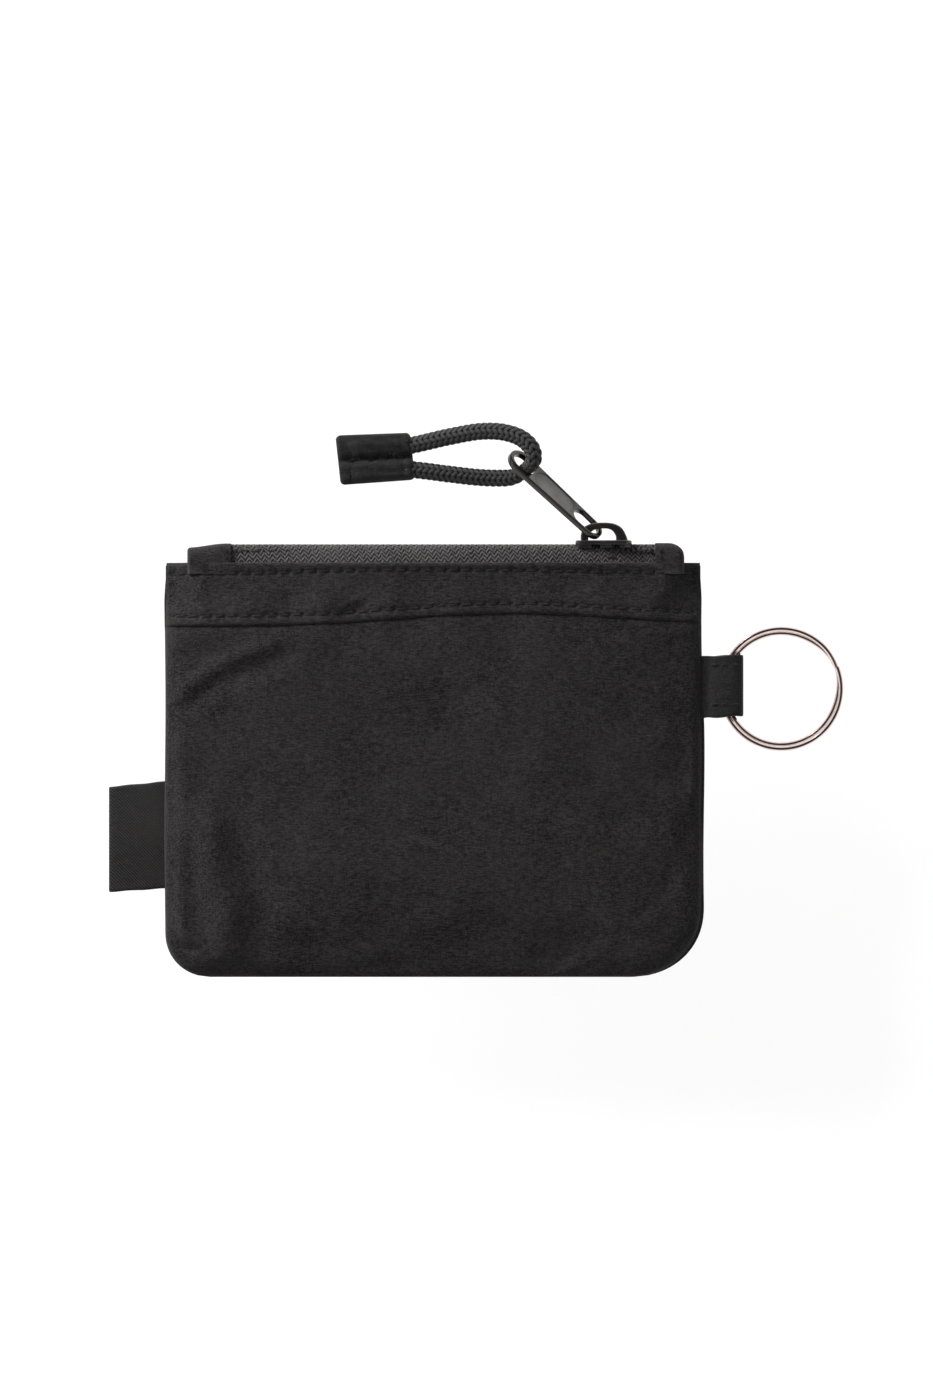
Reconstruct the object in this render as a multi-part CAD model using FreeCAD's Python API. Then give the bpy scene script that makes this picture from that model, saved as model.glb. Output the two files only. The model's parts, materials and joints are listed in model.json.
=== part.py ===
"""Flat zippered pouch with a key ring: every separate piece as its own solid.

Frame, in millimetres: the pouch stands upright. X runs along the zip, from the side label to the key
ring. Z points up to the zip. The back face is the plane y = 0 and the front face looks along -Y. The
origin is the middle of the body's back face.
"""
import FreeCAD, Part
import math
import os
from FreeCAD import Vector

# body
BODY_WIDTH = 120.0
BODY_HEIGHT = 92.5
BODY_DEPTH = 7.6
LEFT_CORNER_R = 9.0
RIGHT_CORNER_R = 13.0
FABRIC = 0.5
LINING = 0.3
LAYER_GAP = 0.05
TOP_Z = BODY_HEIGHT / 2
BOTTOM_Z = -BODY_HEIGHT / 2
FRONT_Y = -BODY_DEPTH
SEAM_Y = -FABRIC - LAYER_GAP

# folded hem bands round the mouth
BAND_HEIGHT = 14.3
BAND_Z = TOP_Z - BAND_HEIGHT
BACK_BAND_Y = -0.4
HEM_RETURN_HEIGHT = 6.2
HEM_HALF_WIDTH = 53.0
TONGUE_HEIGHT = 3.1
TONGUE_ROOT_HEIGHT = 1.9
TONGUE_THICKNESS = 0.4
BAND_INNER_Y = BACK_BAND_Y - FABRIC

# lining
LINING_TOP_Z = 37.5
LINING_INSET = 1.2
LINING_BACK_Y = -1.45
LINING_FRONT_Y = -6.5

# zip: two tapes folded down from the chain, standing above the hems
ZIP_Y = -3.8
TAPE_X = (-54.3, 55.4)
TAPE_BOTTOM_Z = 38.0
TAPE_TOP_Z = 49.9
TAPE_INNER = 2.05
TAPE_THICKNESS = 0.4
TAPE_SHELF_Z = 48.1
TAPE_SHELF_INNER = 0.9
COIL_TOP_Z = 49.95
COIL_PITCH = 1.25
COIL_TOOTH = 0.5
COIL_MESH = 0.5
COIL_SPINE = (1.5, 2.0)
PARTED_HALF_WIDTH = 0.85

# fabric tabs folded over the two ends of the zip
TAB_LEFT_X = (-54.9, -45.2)
TAB_RIGHT_X = (49.5, 56.0)
TAB_TOP_Z = 50.55
TAB_THICKNESS = 0.5
TAB_BOTTOM_GAP = 0.1

# slider
SLIDER_X = (31.7, 44.3)
SLIDER_HALF_WIDTH = 3.5
PLATE_BOTTOM_Z = 50.2
PLATE_TOP_Z = 51.2
FLANGE_THICKNESS = 0.6
FLANGE_DROP = 1.0
LOWER_PLATE_HALF_WIDTH = 1.8
LOWER_PLATE_Z = (46.9, 47.7)
DIAMOND_X = (42.2, 43.6)
DIAMOND_HALF_WIDTH = 0.7
CROWN_HALF_WIDTH = 0.5
CROWN_TOP_Z = 55.05
CROWN_INSIDE_TOP_Z = 53.95
PIN_X = 41.6
PIN_HALF_WIDTH = 0.25
PIN_Z = (50.05, 52.0)
PIN_LIFT = 0.6
PIN_CLEARANCE = 0.1

# pull, laid out along its own length from the pivot bar
PULL_PIVOT = Vector(36.65, ZIP_Y, 52.55)
PULL_LEAN_DEG = 137.0
PULL_TWIST_DEG = 36.0
PULL_THICKNESS = 1.1
PULL_FOOT_R = 2.6
PULL_FOOT_AT = 2.0
PULL_EYE_R = 3.3
PULL_EYE_AT = 24.1
PULL_EYE_HOLE_R = 2.1
SLOT_HALF_WIDTH = 1.85
SLOT_SPAN = (2.3, 7.0)
RECESS_SPAN = (10.6, 19.4)
RECESS_HALF_WIDTH = 1.8
RECESS_DEPTH = 0.25

# cord and the sewn cover over its ends
CORD_R = 1.7
CORD_CLEARANCE = 0.12
CORD_SECTIONS = 36
COVER_X = (-21.6, -4.1)
COVER_Z = (63.7, 74.9)
COVER_THICKNESS = 4.8
CORD_INSIDE_COVER = 14.0
STRAND_UPPER_Z = 72.2
STRAND_LOWER_Z = 66.6

# key loop and split ring in the right side seam
SIDE_Y = -2.6
LOOP_X = (60.85, 69.3)
LOOP_Z = (11.5, 25.5)
LOOP_ROOT_HALF = 0.6
LOOP_HALF = 2.15
LOOP_WALL = 0.5
LOOP_FOLD_R = 1.5
LOOP_FLAT_X = 63.1
RING_X = 77.7
RING_OUTER_R = 14.0
RING_BAND = 2.0
RING_WIRE_HEIGHT = 0.9
RING_PITCH = 0.98
RING_TURNS = 1.97

# side label in the left side seam
LABEL_WIDTH = 12.0
LABEL_HEIGHT = 23.9
LABEL_THICKNESS = 0.8
LABEL_ROOT = Vector(-60.6, -1.6, -14.5)
LABEL_TILT_DEG = 4.5

# sewing thread
THREAD_R = 0.17
THREAD_GAP = 0.02
STITCH_PITCH = 3.0
STITCH_LENGTH = 2.3
UPPER_ROW_BELOW_TOP = 2.2
LOWER_ROW_ABOVE_FOLD = 2.2


def box(x, y, z):
    """A block between two limits on each axis."""
    return Part.makeBox(x[1] - x[0], y[1] - y[0], z[1] - z[0], Vector(x[0], y[0], z[0]))


def across(half_inner, half_outer, side):
    """Two Y limits at a distance from the zip's plane; side is 1 for the back and -1 for the front."""
    ends = (ZIP_Y + side * half_inner, ZIP_Y + side * half_outer)
    return min(ends), max(ends)


def prism_x(points, x):
    """A polygon of (y, z) points extruded between two X limits."""
    corners = [Vector(x[0], y, z) for y, z in points]
    face = Part.Face(Part.makePolygon(corners + corners[:1]))
    return face.extrude(Vector(x[1] - x[0], 0, 0))


def body_outline(inset, y, top):
    """The body's outline at one depth: straight sides and two rounded bottom corners."""
    half = BODY_WIDTH / 2 - inset
    low = BOTTOM_Z + inset
    r_left, r_right = LEFT_CORNER_R, RIGHT_CORNER_R
    bend = math.sqrt(0.5)
    left_mid = Vector(-half + r_left * (1 - bend), y, low + r_left * (1 - bend))
    right_mid = Vector(half - r_right * (1 - bend), y, low + r_right * (1 - bend))
    left_side = Vector(-half, y, low + r_left)
    left_base = Vector(-half + r_left, y, low)
    right_base = Vector(half - r_right, y, low)
    right_side = Vector(half, y, low + r_right)
    top_right = Vector(half, y, top)
    top_left = Vector(-half, y, top)
    return Part.Wire([
        Part.makeLine(top_left, left_side),
        Part.Arc(left_side, left_mid, left_base).toShape(),
        Part.makeLine(left_base, right_base),
        Part.Arc(right_base, right_mid, right_side).toShape(),
        Part.makeLine(right_side, top_right),
        Part.makeLine(top_right, top_left),
    ])


def body_slab(inset, y, top):
    """The body's outline as a sheet between two depths."""
    return Part.Face(body_outline(inset, y[0], top)).extrude(Vector(0, y[1] - y[0], 0))


def dome(sections, top):
    """A solid lofted through outlines given as (inset, depth) pairs."""
    return Part.makeLoft([body_outline(inset, y, top) for inset, y in sections], True, False)


def domed_shell(sections, wall, top):
    """An open tray: a dome with the same dome, one wall smaller, taken out of it."""
    open_top = top + 5
    inner = [(inset + wall, y) for inset, y in sections[:-1]]
    inner[0] = (inner[0][0], inner[0][1] + wall)
    inner.append((sections[-1][0] + wall, sections[-1][1] + wall))
    return dome(sections, top).cut(dome(inner, open_top))


def front_shell():
    """The whole front of the body, from the side seams to its flat middle."""
    sections = [(0.0, SEAM_Y), (0.2, -2.6), (1.8, -5.6), (5.5, FRONT_Y)]
    return domed_shell(sections, FABRIC, TOP_Z)


def front_panel(shell):
    wide = (-BODY_WIDTH, BODY_WIDTH)
    panel = shell.common(box(wide, (-20, 0), (BOTTOM_Z - 1, BAND_Z - LAYER_GAP)))
    inner = FRONT_Y + FABRIC
    back = inner + LAYER_GAP + TONGUE_THICKNESS
    half = (-HEM_HALF_WIDTH + 1, HEM_HALF_WIDTH - 1)
    root = box(half, (inner - LAYER_GAP, back), (BAND_Z - TONGUE_ROOT_HEIGHT, BAND_Z - LAYER_GAP))
    tongue = box(half, (inner + LAYER_GAP, back), (BAND_Z - TONGUE_ROOT_HEIGHT, BAND_Z + TONGUE_HEIGHT))
    return panel.fuse([root, tongue]).removeSplitter()


def front_band(shell):
    wide = (-BODY_WIDTH, BODY_WIDTH)
    outer = shell.common(box(wide, (-20, BAND_INNER_Y - LAYER_GAP), (BAND_Z, TOP_Z + 1)))
    inner = FRONT_Y + FABRIC
    tape_face = ZIP_Y - TAPE_INNER - TAPE_THICKNESS - LAYER_GAP
    half = (-HEM_HALF_WIDTH, HEM_HALF_WIDTH)
    hem = box(half, (inner - LAYER_GAP, tape_face), (TOP_Z - HEM_RETURN_HEIGHT, TOP_Z))
    return outer.fuse(hem).removeSplitter()


def back_panel():
    sheet = body_slab(0, (0, -FABRIC), BAND_Z - LAYER_GAP)
    half = (-BODY_WIDTH / 2 + 2, BODY_WIDTH / 2 - 2)
    front = BAND_INNER_Y - LAYER_GAP
    root = box(half, (front - TONGUE_THICKNESS, 0), (BAND_Z - TONGUE_ROOT_HEIGHT, BAND_Z - LAYER_GAP))
    tongue = box(half, (front - TONGUE_THICKNESS, front),
                 (BAND_Z - TONGUE_ROOT_HEIGHT, BAND_Z + TONGUE_HEIGHT))
    return sheet.fuse([root, tongue]).removeSplitter()


def back_band():
    half = BODY_WIDTH / 2
    outer = box((-half, half), (BAND_INNER_Y, BACK_BAND_Y), (BAND_Z, TOP_Z))
    tape_face = ZIP_Y + TAPE_INNER + TAPE_THICKNESS + LAYER_GAP
    hem = box((-HEM_HALF_WIDTH, HEM_HALF_WIDTH), (tape_face, BACK_BAND_Y),
              (TOP_Z - HEM_RETURN_HEIGHT, TOP_Z))
    return outer.fuse(hem).removeSplitter()


def lining_front():
    start = LINING_BACK_Y - LINING - 2 * LAYER_GAP
    sections = [(LINING_INSET, start), (1.4, -3.2), (2.9, -5.0), (7.0, LINING_FRONT_Y)]
    return domed_shell(sections, LINING, LINING_TOP_Z)


def lining_back():
    return body_slab(LINING_INSET, (LINING_BACK_Y, LINING_BACK_Y - LINING), LINING_TOP_Z)


def zipper_tape(side):
    """One tape: a tall leg sewn to the hem and a narrow shelf under the coil."""
    outer = TAPE_INNER + TAPE_THICKNESS
    profile = [
        (TAPE_INNER, TAPE_BOTTOM_Z),
        (outer, TAPE_BOTTOM_Z),
        (outer, TAPE_TOP_Z),
        (TAPE_INNER, TAPE_TOP_Z),
        (TAPE_INNER, TAPE_SHELF_Z + TAPE_THICKNESS),
        (TAPE_SHELF_INNER, TAPE_SHELF_Z + TAPE_THICKNESS),
        (TAPE_SHELF_INNER, TAPE_SHELF_Z),
        (TAPE_INNER, TAPE_SHELF_Z),
    ]
    return prism_x([(ZIP_Y + side * d, z) for d, z in profile], TAPE_X)


def zipper_coil(side):
    """One half of the chain: a spine with teeth that reach a little past the zip's middle."""
    z = (TAPE_SHELF_Z + TAPE_THICKNESS + LAYER_GAP, COIL_TOP_Z)
    spine = box(TAPE_X, across(*COIL_SPINE, side), z)
    first = TAPE_X[0] + 0.4 + (COIL_PITCH / 2 if side > 0 else 0)
    count = int((TAPE_X[1] - 0.6 - first) / COIL_PITCH)
    reach = across(-COIL_MESH, COIL_SPINE[0] + LAYER_GAP, side)
    teeth = []
    for i in range(count):
        x = first + i * COIL_PITCH
        teeth.append(box((x, x + COIL_TOOTH), reach, z))
    coil = spine.fuse(teeth)
    parted = box((DIAMOND_X[0] - 0.3, TAB_RIGHT_X[0]), across(-PARTED_HALF_WIDTH, PARTED_HALF_WIDTH, 1), z)
    return coil.cut(parted).removeSplitter()


def zipper_end_tab(x):
    """Fabric folded over one end of the zip, hollow where the tapes and the chain run in."""
    half = TAPE_INNER + TAPE_THICKNESS + LAYER_GAP + TAB_THICKNESS
    outside = box(x, across(-half, half, 1), (TOP_Z + TAB_BOTTOM_GAP, TAB_TOP_Z))
    corner = max(outside.Edges, key=lambda e: outer_top_edge(e, x))
    outside = outside.makeFillet(1.6, [corner])
    inner = half - TAB_THICKNESS
    end_wall = 0.45
    if x[0] < 0:
        hollow_x = (x[0] + end_wall, x[1] + 1)
    else:
        hollow_x = (x[0] - 1, x[1] - end_wall)
    hollow = box(hollow_x, across(-inner, inner, 1), (TOP_Z - 1, COIL_TOP_Z + LAYER_GAP))
    return outside.cut(hollow)


def outer_top_edge(edge, x):
    """Large for the upper edge that runs along Y at the tab's end away from the middle."""
    centre = edge.CenterOfMass
    along_y = edge.BoundBox.YLength > 1
    away = abs(centre.x) if along_y else 0
    return away + (centre.z if along_y else 0)


def slider_body():
    x = SLIDER_X
    width = across(-SLIDER_HALF_WIDTH, SLIDER_HALF_WIDTH, 1)
    plate = box(x, width, (PLATE_BOTTOM_Z - FLANGE_DROP, PLATE_TOP_Z))
    upright = [e for e in plate.Edges if e.BoundBox.ZLength > 1]
    plate = plate.makeFillet(1.4, upright)
    inner = SLIDER_HALF_WIDTH - FLANGE_THICKNESS
    channel = box((x[0] - 1, x[1] + 1), across(-inner, inner, 1),
                  (PLATE_BOTTOM_Z - FLANGE_DROP - 1, PLATE_BOTTOM_Z))
    lower = box((x[0] + 0.8, x[1] - 0.6),
                across(-LOWER_PLATE_HALF_WIDTH, LOWER_PLATE_HALF_WIDTH, 1), LOWER_PLATE_Z)
    diamond = box(DIAMOND_X, across(-DIAMOND_HALF_WIDTH, DIAMOND_HALF_WIDTH, 1),
                  (LOWER_PLATE_Z[1] - 0.2, PLATE_BOTTOM_Z + 0.2))
    body = plate.cut(channel).fuse([lower, diamond]).removeSplitter()
    return body.cut(pin_passage(PLATE_TOP_Z))


def pin_passage(top):
    """The hole that the locking pin runs in, up to a height."""
    half = PIN_HALF_WIDTH + PIN_CLEARANCE
    return box((PIN_X - half, PIN_X + half), across(-half, half, 1), (PLATE_BOTTOM_Z - 0.5, top))


def slider_crown():
    """The bail: a thick D-shaped strap that stands on the upper plate."""
    foot = PLATE_TOP_Z
    outer_points = [(33.4, foot), (33.9, 53.2), (36.3, CROWN_TOP_Z - 0.1), (39.4, CROWN_TOP_Z),
                    (42.3, 53.7), (43.9, foot)]
    inner_points = [(35.15, foot), (35.6, 53.2), (37.2, CROWN_INSIDE_TOP_Z),
                    (39.3, 53.75), (40.5, 52.6), (40.6, foot)]
    outer = arch(outer_points)
    inner = arch(inner_points)
    crown = outer.cut(inner)
    top = PIN_Z[1] + PIN_LIFT + PIN_CLEARANCE
    return crown.cut(pin_passage(top))


def arch(points):
    """A slab across the zip's plane under a smooth curve through (x, z) points."""
    low = ZIP_Y - CROWN_HALF_WIDTH
    curve = Part.BSplineCurve()
    curve.interpolate([Vector(x, low, z) for x, z in points])
    base = Part.makeLine(curve.EndPoint, curve.StartPoint)
    face = Part.Face(Part.Wire([curve.toShape(), base]))
    return face.extrude(Vector(0, 2 * CROWN_HALF_WIDTH, 0))


def slider_lock_spring():
    """The locking pin with the short foot of its leaf, at rest just above the chain."""
    half = PIN_HALF_WIDTH
    return box((PIN_X - half, PIN_X + half), across(-half, half, 1), PIN_Z)


def pull_axes():
    """Unit vectors of the pull: along it, across its face and out of its face."""
    lean = math.radians(PULL_LEAN_DEG)
    twist = math.radians(PULL_TWIST_DEG)
    along = Vector(math.cos(lean), 0, math.sin(lean))
    square = Vector(math.sin(lean), 0, -math.cos(lean))
    width = Vector(0, math.cos(twist), 0) + square * math.sin(twist)
    return along, width, along.cross(width)


def placed_pull(shape):
    """Moves a shape from the pull's own axes to its place on the crown."""
    a, w, n = pull_axes()
    p = PULL_PIVOT
    matrix = FreeCAD.Matrix(a.x, w.x, n.x, p.x, a.y, w.y, n.y, p.y, a.z, w.z, n.z, p.z, 0, 0, 0, 1)
    moved = shape.copy()
    moved.Placement = FreeCAD.Placement(matrix)
    return moved


def two_round_plate(at, radii, thickness):
    """A flat plate round two circles on its own X axis, centred on its own XY plane."""
    span = at[1] - at[0]
    slope = math.asin((radii[1] - radii[0]) / span)
    sides = []
    for centre, r in zip(at, radii):
        sides.append((centre - r * math.sin(slope), r * math.cos(slope)))
    z = -thickness / 2
    start, end = sides
    near = Part.Arc(Vector(start[0], start[1], z), Vector(at[0] - radii[0], 0, z),
                    Vector(start[0], -start[1], z))
    far = Part.Arc(Vector(end[0], -end[1], z), Vector(at[1] + radii[1], 0, z),
                   Vector(end[0], end[1], z))
    lower = Part.makeLine(Vector(start[0], -start[1], z), Vector(end[0], -end[1], z))
    upper = Part.makeLine(Vector(end[0], end[1], z), Vector(start[0], start[1], z))
    wire = Part.Wire([near.toShape(), lower, far.toShape(), upper])
    return Part.Face(wire).extrude(Vector(0, 0, thickness))


def pull_tab():
    plate = two_round_plate((PULL_FOOT_AT, PULL_EYE_AT), (PULL_FOOT_R, PULL_EYE_R), PULL_THICKNESS)
    deep = 3 * PULL_THICKNESS
    slot = two_round_plate(SLOT_SPAN, (SLOT_HALF_WIDTH, SLOT_HALF_WIDTH), deep)
    eye = Part.makeCylinder(PULL_EYE_HOLE_R, deep, Vector(PULL_EYE_AT, 0, -deep / 2))
    ends = (RECESS_SPAN[0] + RECESS_HALF_WIDTH, RECESS_SPAN[1] - RECESS_HALF_WIDTH)
    recess = two_round_plate(ends, (RECESS_HALF_WIDTH, RECESS_HALF_WIDTH), 2 * RECESS_DEPTH)
    plate = plate.cut(slot).cut(eye)
    for side in (-1, 1):
        pocket = recess.copy()
        pocket.translate(Vector(0, 0, side * PULL_THICKNESS / 2))
        plate = plate.cut(pocket)
    return placed_pull(plate)


def cord_path():
    """The cord's centre line: in at the cover, round through the pull's eye and back."""
    along, _, normal = pull_axes()
    eye = PULL_PIVOT + along * PULL_EYE_AT
    mouth = COVER_X[1] + 0.4
    upper = Vector(mouth, ZIP_Y, STRAND_UPPER_Z)
    lower = Vector(mouth, ZIP_Y, STRAND_LOWER_Z)
    bend = [
        upper,
        Vector(3.9, -4.3, 74.2),
        Vector(10.8, -5.0, 75.4),
        Vector(16.8, -5.9, 75.0),
        Vector(20.8, -6.3, 73.1),
        eye - normal * 2.6,
        eye - normal,
        eye + normal,
        eye + normal * 2.6,
        Vector(13.6, -1.9, 65.4),
        Vector(10.0, -2.2, 65.2),
        Vector(3.9, -3.0, 65.8),
        lower,
    ]
    curve = Part.BSplineCurve()
    curve.interpolate(Points=bend, InitialTangent=Vector(1, 0, 0.15), FinalTangent=Vector(-1, 0, 0))
    inside = Vector(CORD_INSIDE_COVER, 0, 0)
    start = Part.makeLine(upper - inside, upper)
    end = Part.makeLine(lower, lower - inside)
    return start, curve.toShape(), end


def sweep_round(edge, radius):
    """A round bar along one edge, lofted through circles that all start towards the back."""
    first, last = edge.ParameterRange
    circles = []
    for i in range(CORD_SECTIONS + 1):
        at = first + (last - first) * i / CORD_SECTIONS
        tangent = edge.tangentAt(at)
        back = Vector(0, 1, 0) - tangent * tangent.y
        turn = FreeCAD.Rotation(back, tangent.cross(back), tangent, "ZXY")
        circle = Part.makeCircle(radius)
        circle.Placement = FreeCAD.Placement(edge.valueAt(at), turn)
        circles.append(Part.Wire(circle))
    return Part.makeLoft(circles, True, False)


def cord_end(line, radius):
    start = line.valueAt(line.FirstParameter)
    end = line.valueAt(line.LastParameter)
    return Part.makeCylinder(radius, line.Length, start, end - start)


def pull_cord():
    start, bend, end = cord_path()
    loop = sweep_round(bend, CORD_R)
    return loop.fuse([cord_end(start, CORD_R), cord_end(end, CORD_R)])


def cord_end_cover():
    half = COVER_THICKNESS / 2
    cover = box(COVER_X, across(-half, half, 1), COVER_Z)
    cover = cover.makeFillet(1.4, [e for e in cover.Edges if e.BoundBox.XLength > 5])
    for z in (STRAND_UPPER_Z, STRAND_LOWER_Z):
        start = Vector(COVER_X[1] + 0.4 - CORD_INSIDE_COVER - CORD_CLEARANCE, ZIP_Y, z)
        bore = Part.makeCylinder(CORD_R + CORD_CLEARANCE, 2 * CORD_INSIDE_COVER, start, Vector(1, 0, 0))
        cover = cover.cut(bore)
    return cover


def key_loop():
    """A strap folded flat round the ring: a tunnel seen from above, narrow at the seam."""
    x0, x1 = LOOP_X
    inner_half = LOOP_HALF - LOOP_WALL
    inner_fold = LOOP_FOLD_R - LOOP_WALL
    outside = folded_strap(x0, LOOP_FLAT_X, x1, LOOP_ROOT_HALF, LOOP_HALF, LOOP_FOLD_R)
    inside = folded_strap(x0 + 1.6, LOOP_FLAT_X + 0.2, x1 - LOOP_WALL, 0.2, inner_half, inner_fold)
    return outside.cut(inside)


def folded_strap(root, flat, tip, root_half, half, fold_r):
    """A strap's outline in X and Y, round at its fold, extruded over the loop's height."""
    z = LOOP_Z[0]
    bend = tip - fold_r
    low, high = SIDE_Y - half, SIDE_Y + half
    near, far = low + fold_r, high - fold_r
    edges = [
        Part.makeLine(Vector(root, SIDE_Y + root_half, z), Vector(root, SIDE_Y - root_half, z)),
        Part.makeLine(Vector(root, SIDE_Y - root_half, z), Vector(flat, low, z)),
        Part.makeLine(Vector(flat, low, z), Vector(bend, low, z)),
        rounded_corner(Vector(bend, low, z), Vector(tip, near, z), Vector(bend, near, z)),
        Part.makeLine(Vector(tip, near, z), Vector(tip, far, z)),
        rounded_corner(Vector(tip, far, z), Vector(bend, high, z), Vector(bend, far, z)),
        Part.makeLine(Vector(bend, high, z), Vector(flat, high, z)),
        Part.makeLine(Vector(flat, high, z), Vector(root, SIDE_Y + root_half, z)),
    ]
    return Part.Face(Part.Wire(edges)).extrude(Vector(0, 0, LOOP_Z[1] - z))


def rounded_corner(start, end, centre):
    """A quarter circle from start to end."""
    outward = (start + end) / 2 - centre
    middle = centre + outward * (start.distanceToPoint(centre) / outward.Length)
    return Part.Arc(start, middle, end).toShape()


def split_ring():
    """Two touching turns of flat wire, wound as a close coil about Y."""
    radius = RING_OUTER_R - RING_BAND / 2
    helix = Part.makeHelix(RING_PITCH, RING_PITCH * RING_TURNS, radius)
    half_band, half_wire = RING_BAND / 2, RING_WIRE_HEIGHT / 2
    corners = [
        Vector(radius - half_band, 0, -half_wire),
        Vector(radius + half_band, 0, -half_wire),
        Vector(radius + half_band, 0, half_wire),
        Vector(radius - half_band, 0, half_wire),
    ]
    section = Part.makePolygon(corners + corners[:1])
    ring = Part.Wire(helix).makePipeShell([section], True, True)
    ring.translate(Vector(0, 0, -RING_PITCH * RING_TURNS / 2))
    ring.rotate(Vector(0, 0, 0), Vector(1, 0, 0), 90)
    ring.translate(Vector(RING_X, SIDE_Y, (LOOP_Z[0] + LOOP_Z[1]) / 2 - 0.4))
    return ring


def side_label():
    r = LABEL_ROOT
    half = LABEL_THICKNESS / 2
    label = box((r.x - LABEL_WIDTH, r.x), (r.y - half, r.y + half),
                (r.z - LABEL_HEIGHT / 2, r.z + LABEL_HEIGHT / 2))
    skew = FreeCAD.Matrix()
    skew.A31 = math.tan(math.radians(LABEL_TILT_DEG))
    skew.A34 = -r.x * skew.A31
    return label.transformGeometry(skew)


def stitch(start, direction, length):
    return Part.makeCylinder(THREAD_R, length, start, direction)


def stitch_row(x, y, z):
    """Stitches along X between two limits, on a face at one depth."""
    count = int((x[1] - x[0]) / STITCH_PITCH)
    first = (x[0] + x[1] - count * STITCH_PITCH + STITCH_PITCH - STITCH_LENGTH) / 2
    row = []
    for i in range(count):
        row.append(stitch(Vector(first + i * STITCH_PITCH, y, z), Vector(1, 0, 0), STITCH_LENGTH))
    return row


def band_stitches(front, upper):
    """One topstitch row on one side's hem band."""
    z = TOP_Z - UPPER_ROW_BELOW_TOP if upper else BAND_Z + LOWER_ROW_ABOVE_FOLD
    proud = THREAD_GAP + THREAD_R
    y = FRONT_Y - proud if front else BACK_BAND_Y + proud
    half = HEM_HALF_WIDTH if front else BODY_WIDTH / 2 - 1.5
    return Part.makeCompound(stitch_row((-half, half), y, z))


def key_loop_stitches():
    flat = (LOOP_FLAT_X + 0.2, LOOP_X[1] - LOOP_FOLD_R - 0.5)
    length = (flat[1] - flat[0] - 0.6) / 2
    rows = []
    for side in (-1, 1):
        y = SIDE_Y + side * (LOOP_HALF + THREAD_GAP + THREAD_R)
        for z in (LOOP_Z[0] + 2.3, LOOP_Z[1] - 2.3):
            for i in range(2):
                start = Vector(flat[0] + i * (length + 0.5), y, z)
                rows.append(stitch(start, Vector(1, 0, 0), length))
    return Part.makeCompound(rows)


def cord_cover_stitches():
    """A lengthwise row and two cross rows on each face of the cover."""
    middle = (COVER_Z[0] + COVER_Z[1]) / 2
    rows = []
    for side in (-1, 1):
        y = ZIP_Y + side * (COVER_THICKNESS / 2 + THREAD_GAP + THREAD_R)
        rows += stitch_row((COVER_X[0] + 4.4, COVER_X[1] - 4.0), y, middle)
        for x in (COVER_X[0] + 2.9, COVER_X[1] - 2.7):
            for z in (COVER_Z[0] + 1.8, middle - 0.4 + 1.6):
                rows.append(stitch(Vector(x, y, z), Vector(0, 0, 1), STITCH_LENGTH))
    return Part.makeCompound(rows)


def build():
    shell = front_shell()
    return {
        "front_panel": front_panel(shell),
        "front_band": front_band(shell),
        "front_band_upper_stitches": band_stitches(front=True, upper=True),
        "front_band_lower_stitches": band_stitches(front=True, upper=False),
        "back_panel": back_panel(),
        "back_band": back_band(),
        "back_band_upper_stitches": band_stitches(front=False, upper=True),
        "back_band_lower_stitches": band_stitches(front=False, upper=False),
        "lining_front": lining_front(),
        "lining_back": lining_back(),
        "zipper_tape_front": zipper_tape(-1),
        "zipper_tape_back": zipper_tape(1),
        "zipper_coil_front": zipper_coil(-1),
        "zipper_coil_back": zipper_coil(1),
        "zipper_end_tab_left": zipper_end_tab(TAB_LEFT_X),
        "zipper_end_tab_right": zipper_end_tab(TAB_RIGHT_X),
        "slider_body": slider_body(),
        "slider_crown": slider_crown(),
        "slider_lock_spring": slider_lock_spring(),
        "pull_tab": pull_tab(),
        "pull_cord": pull_cord(),
        "cord_end_cover": cord_end_cover(),
        "cord_cover_stitches": cord_cover_stitches(),
        "key_loop": key_loop(),
        "key_loop_stitches": key_loop_stitches(),
        "split_ring": split_ring(),
        "side_label": side_label(),
    }


os.makedirs("parts", exist_ok=True)
for node, shape in build().items():
    shape.exportStep(f"parts/{node}.step")
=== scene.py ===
"""Looks of the zippered pouch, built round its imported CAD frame.

Everything is in the CAD's own frame: X along the zip, -Y out of the front, +Z up to the zip. Shapes are
worked out in millimetres and scaled to metres when they become meshes.
"""
import json
import math

import bmesh
import bpy
import numpy as np
from mathutils import Matrix, Vector


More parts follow.
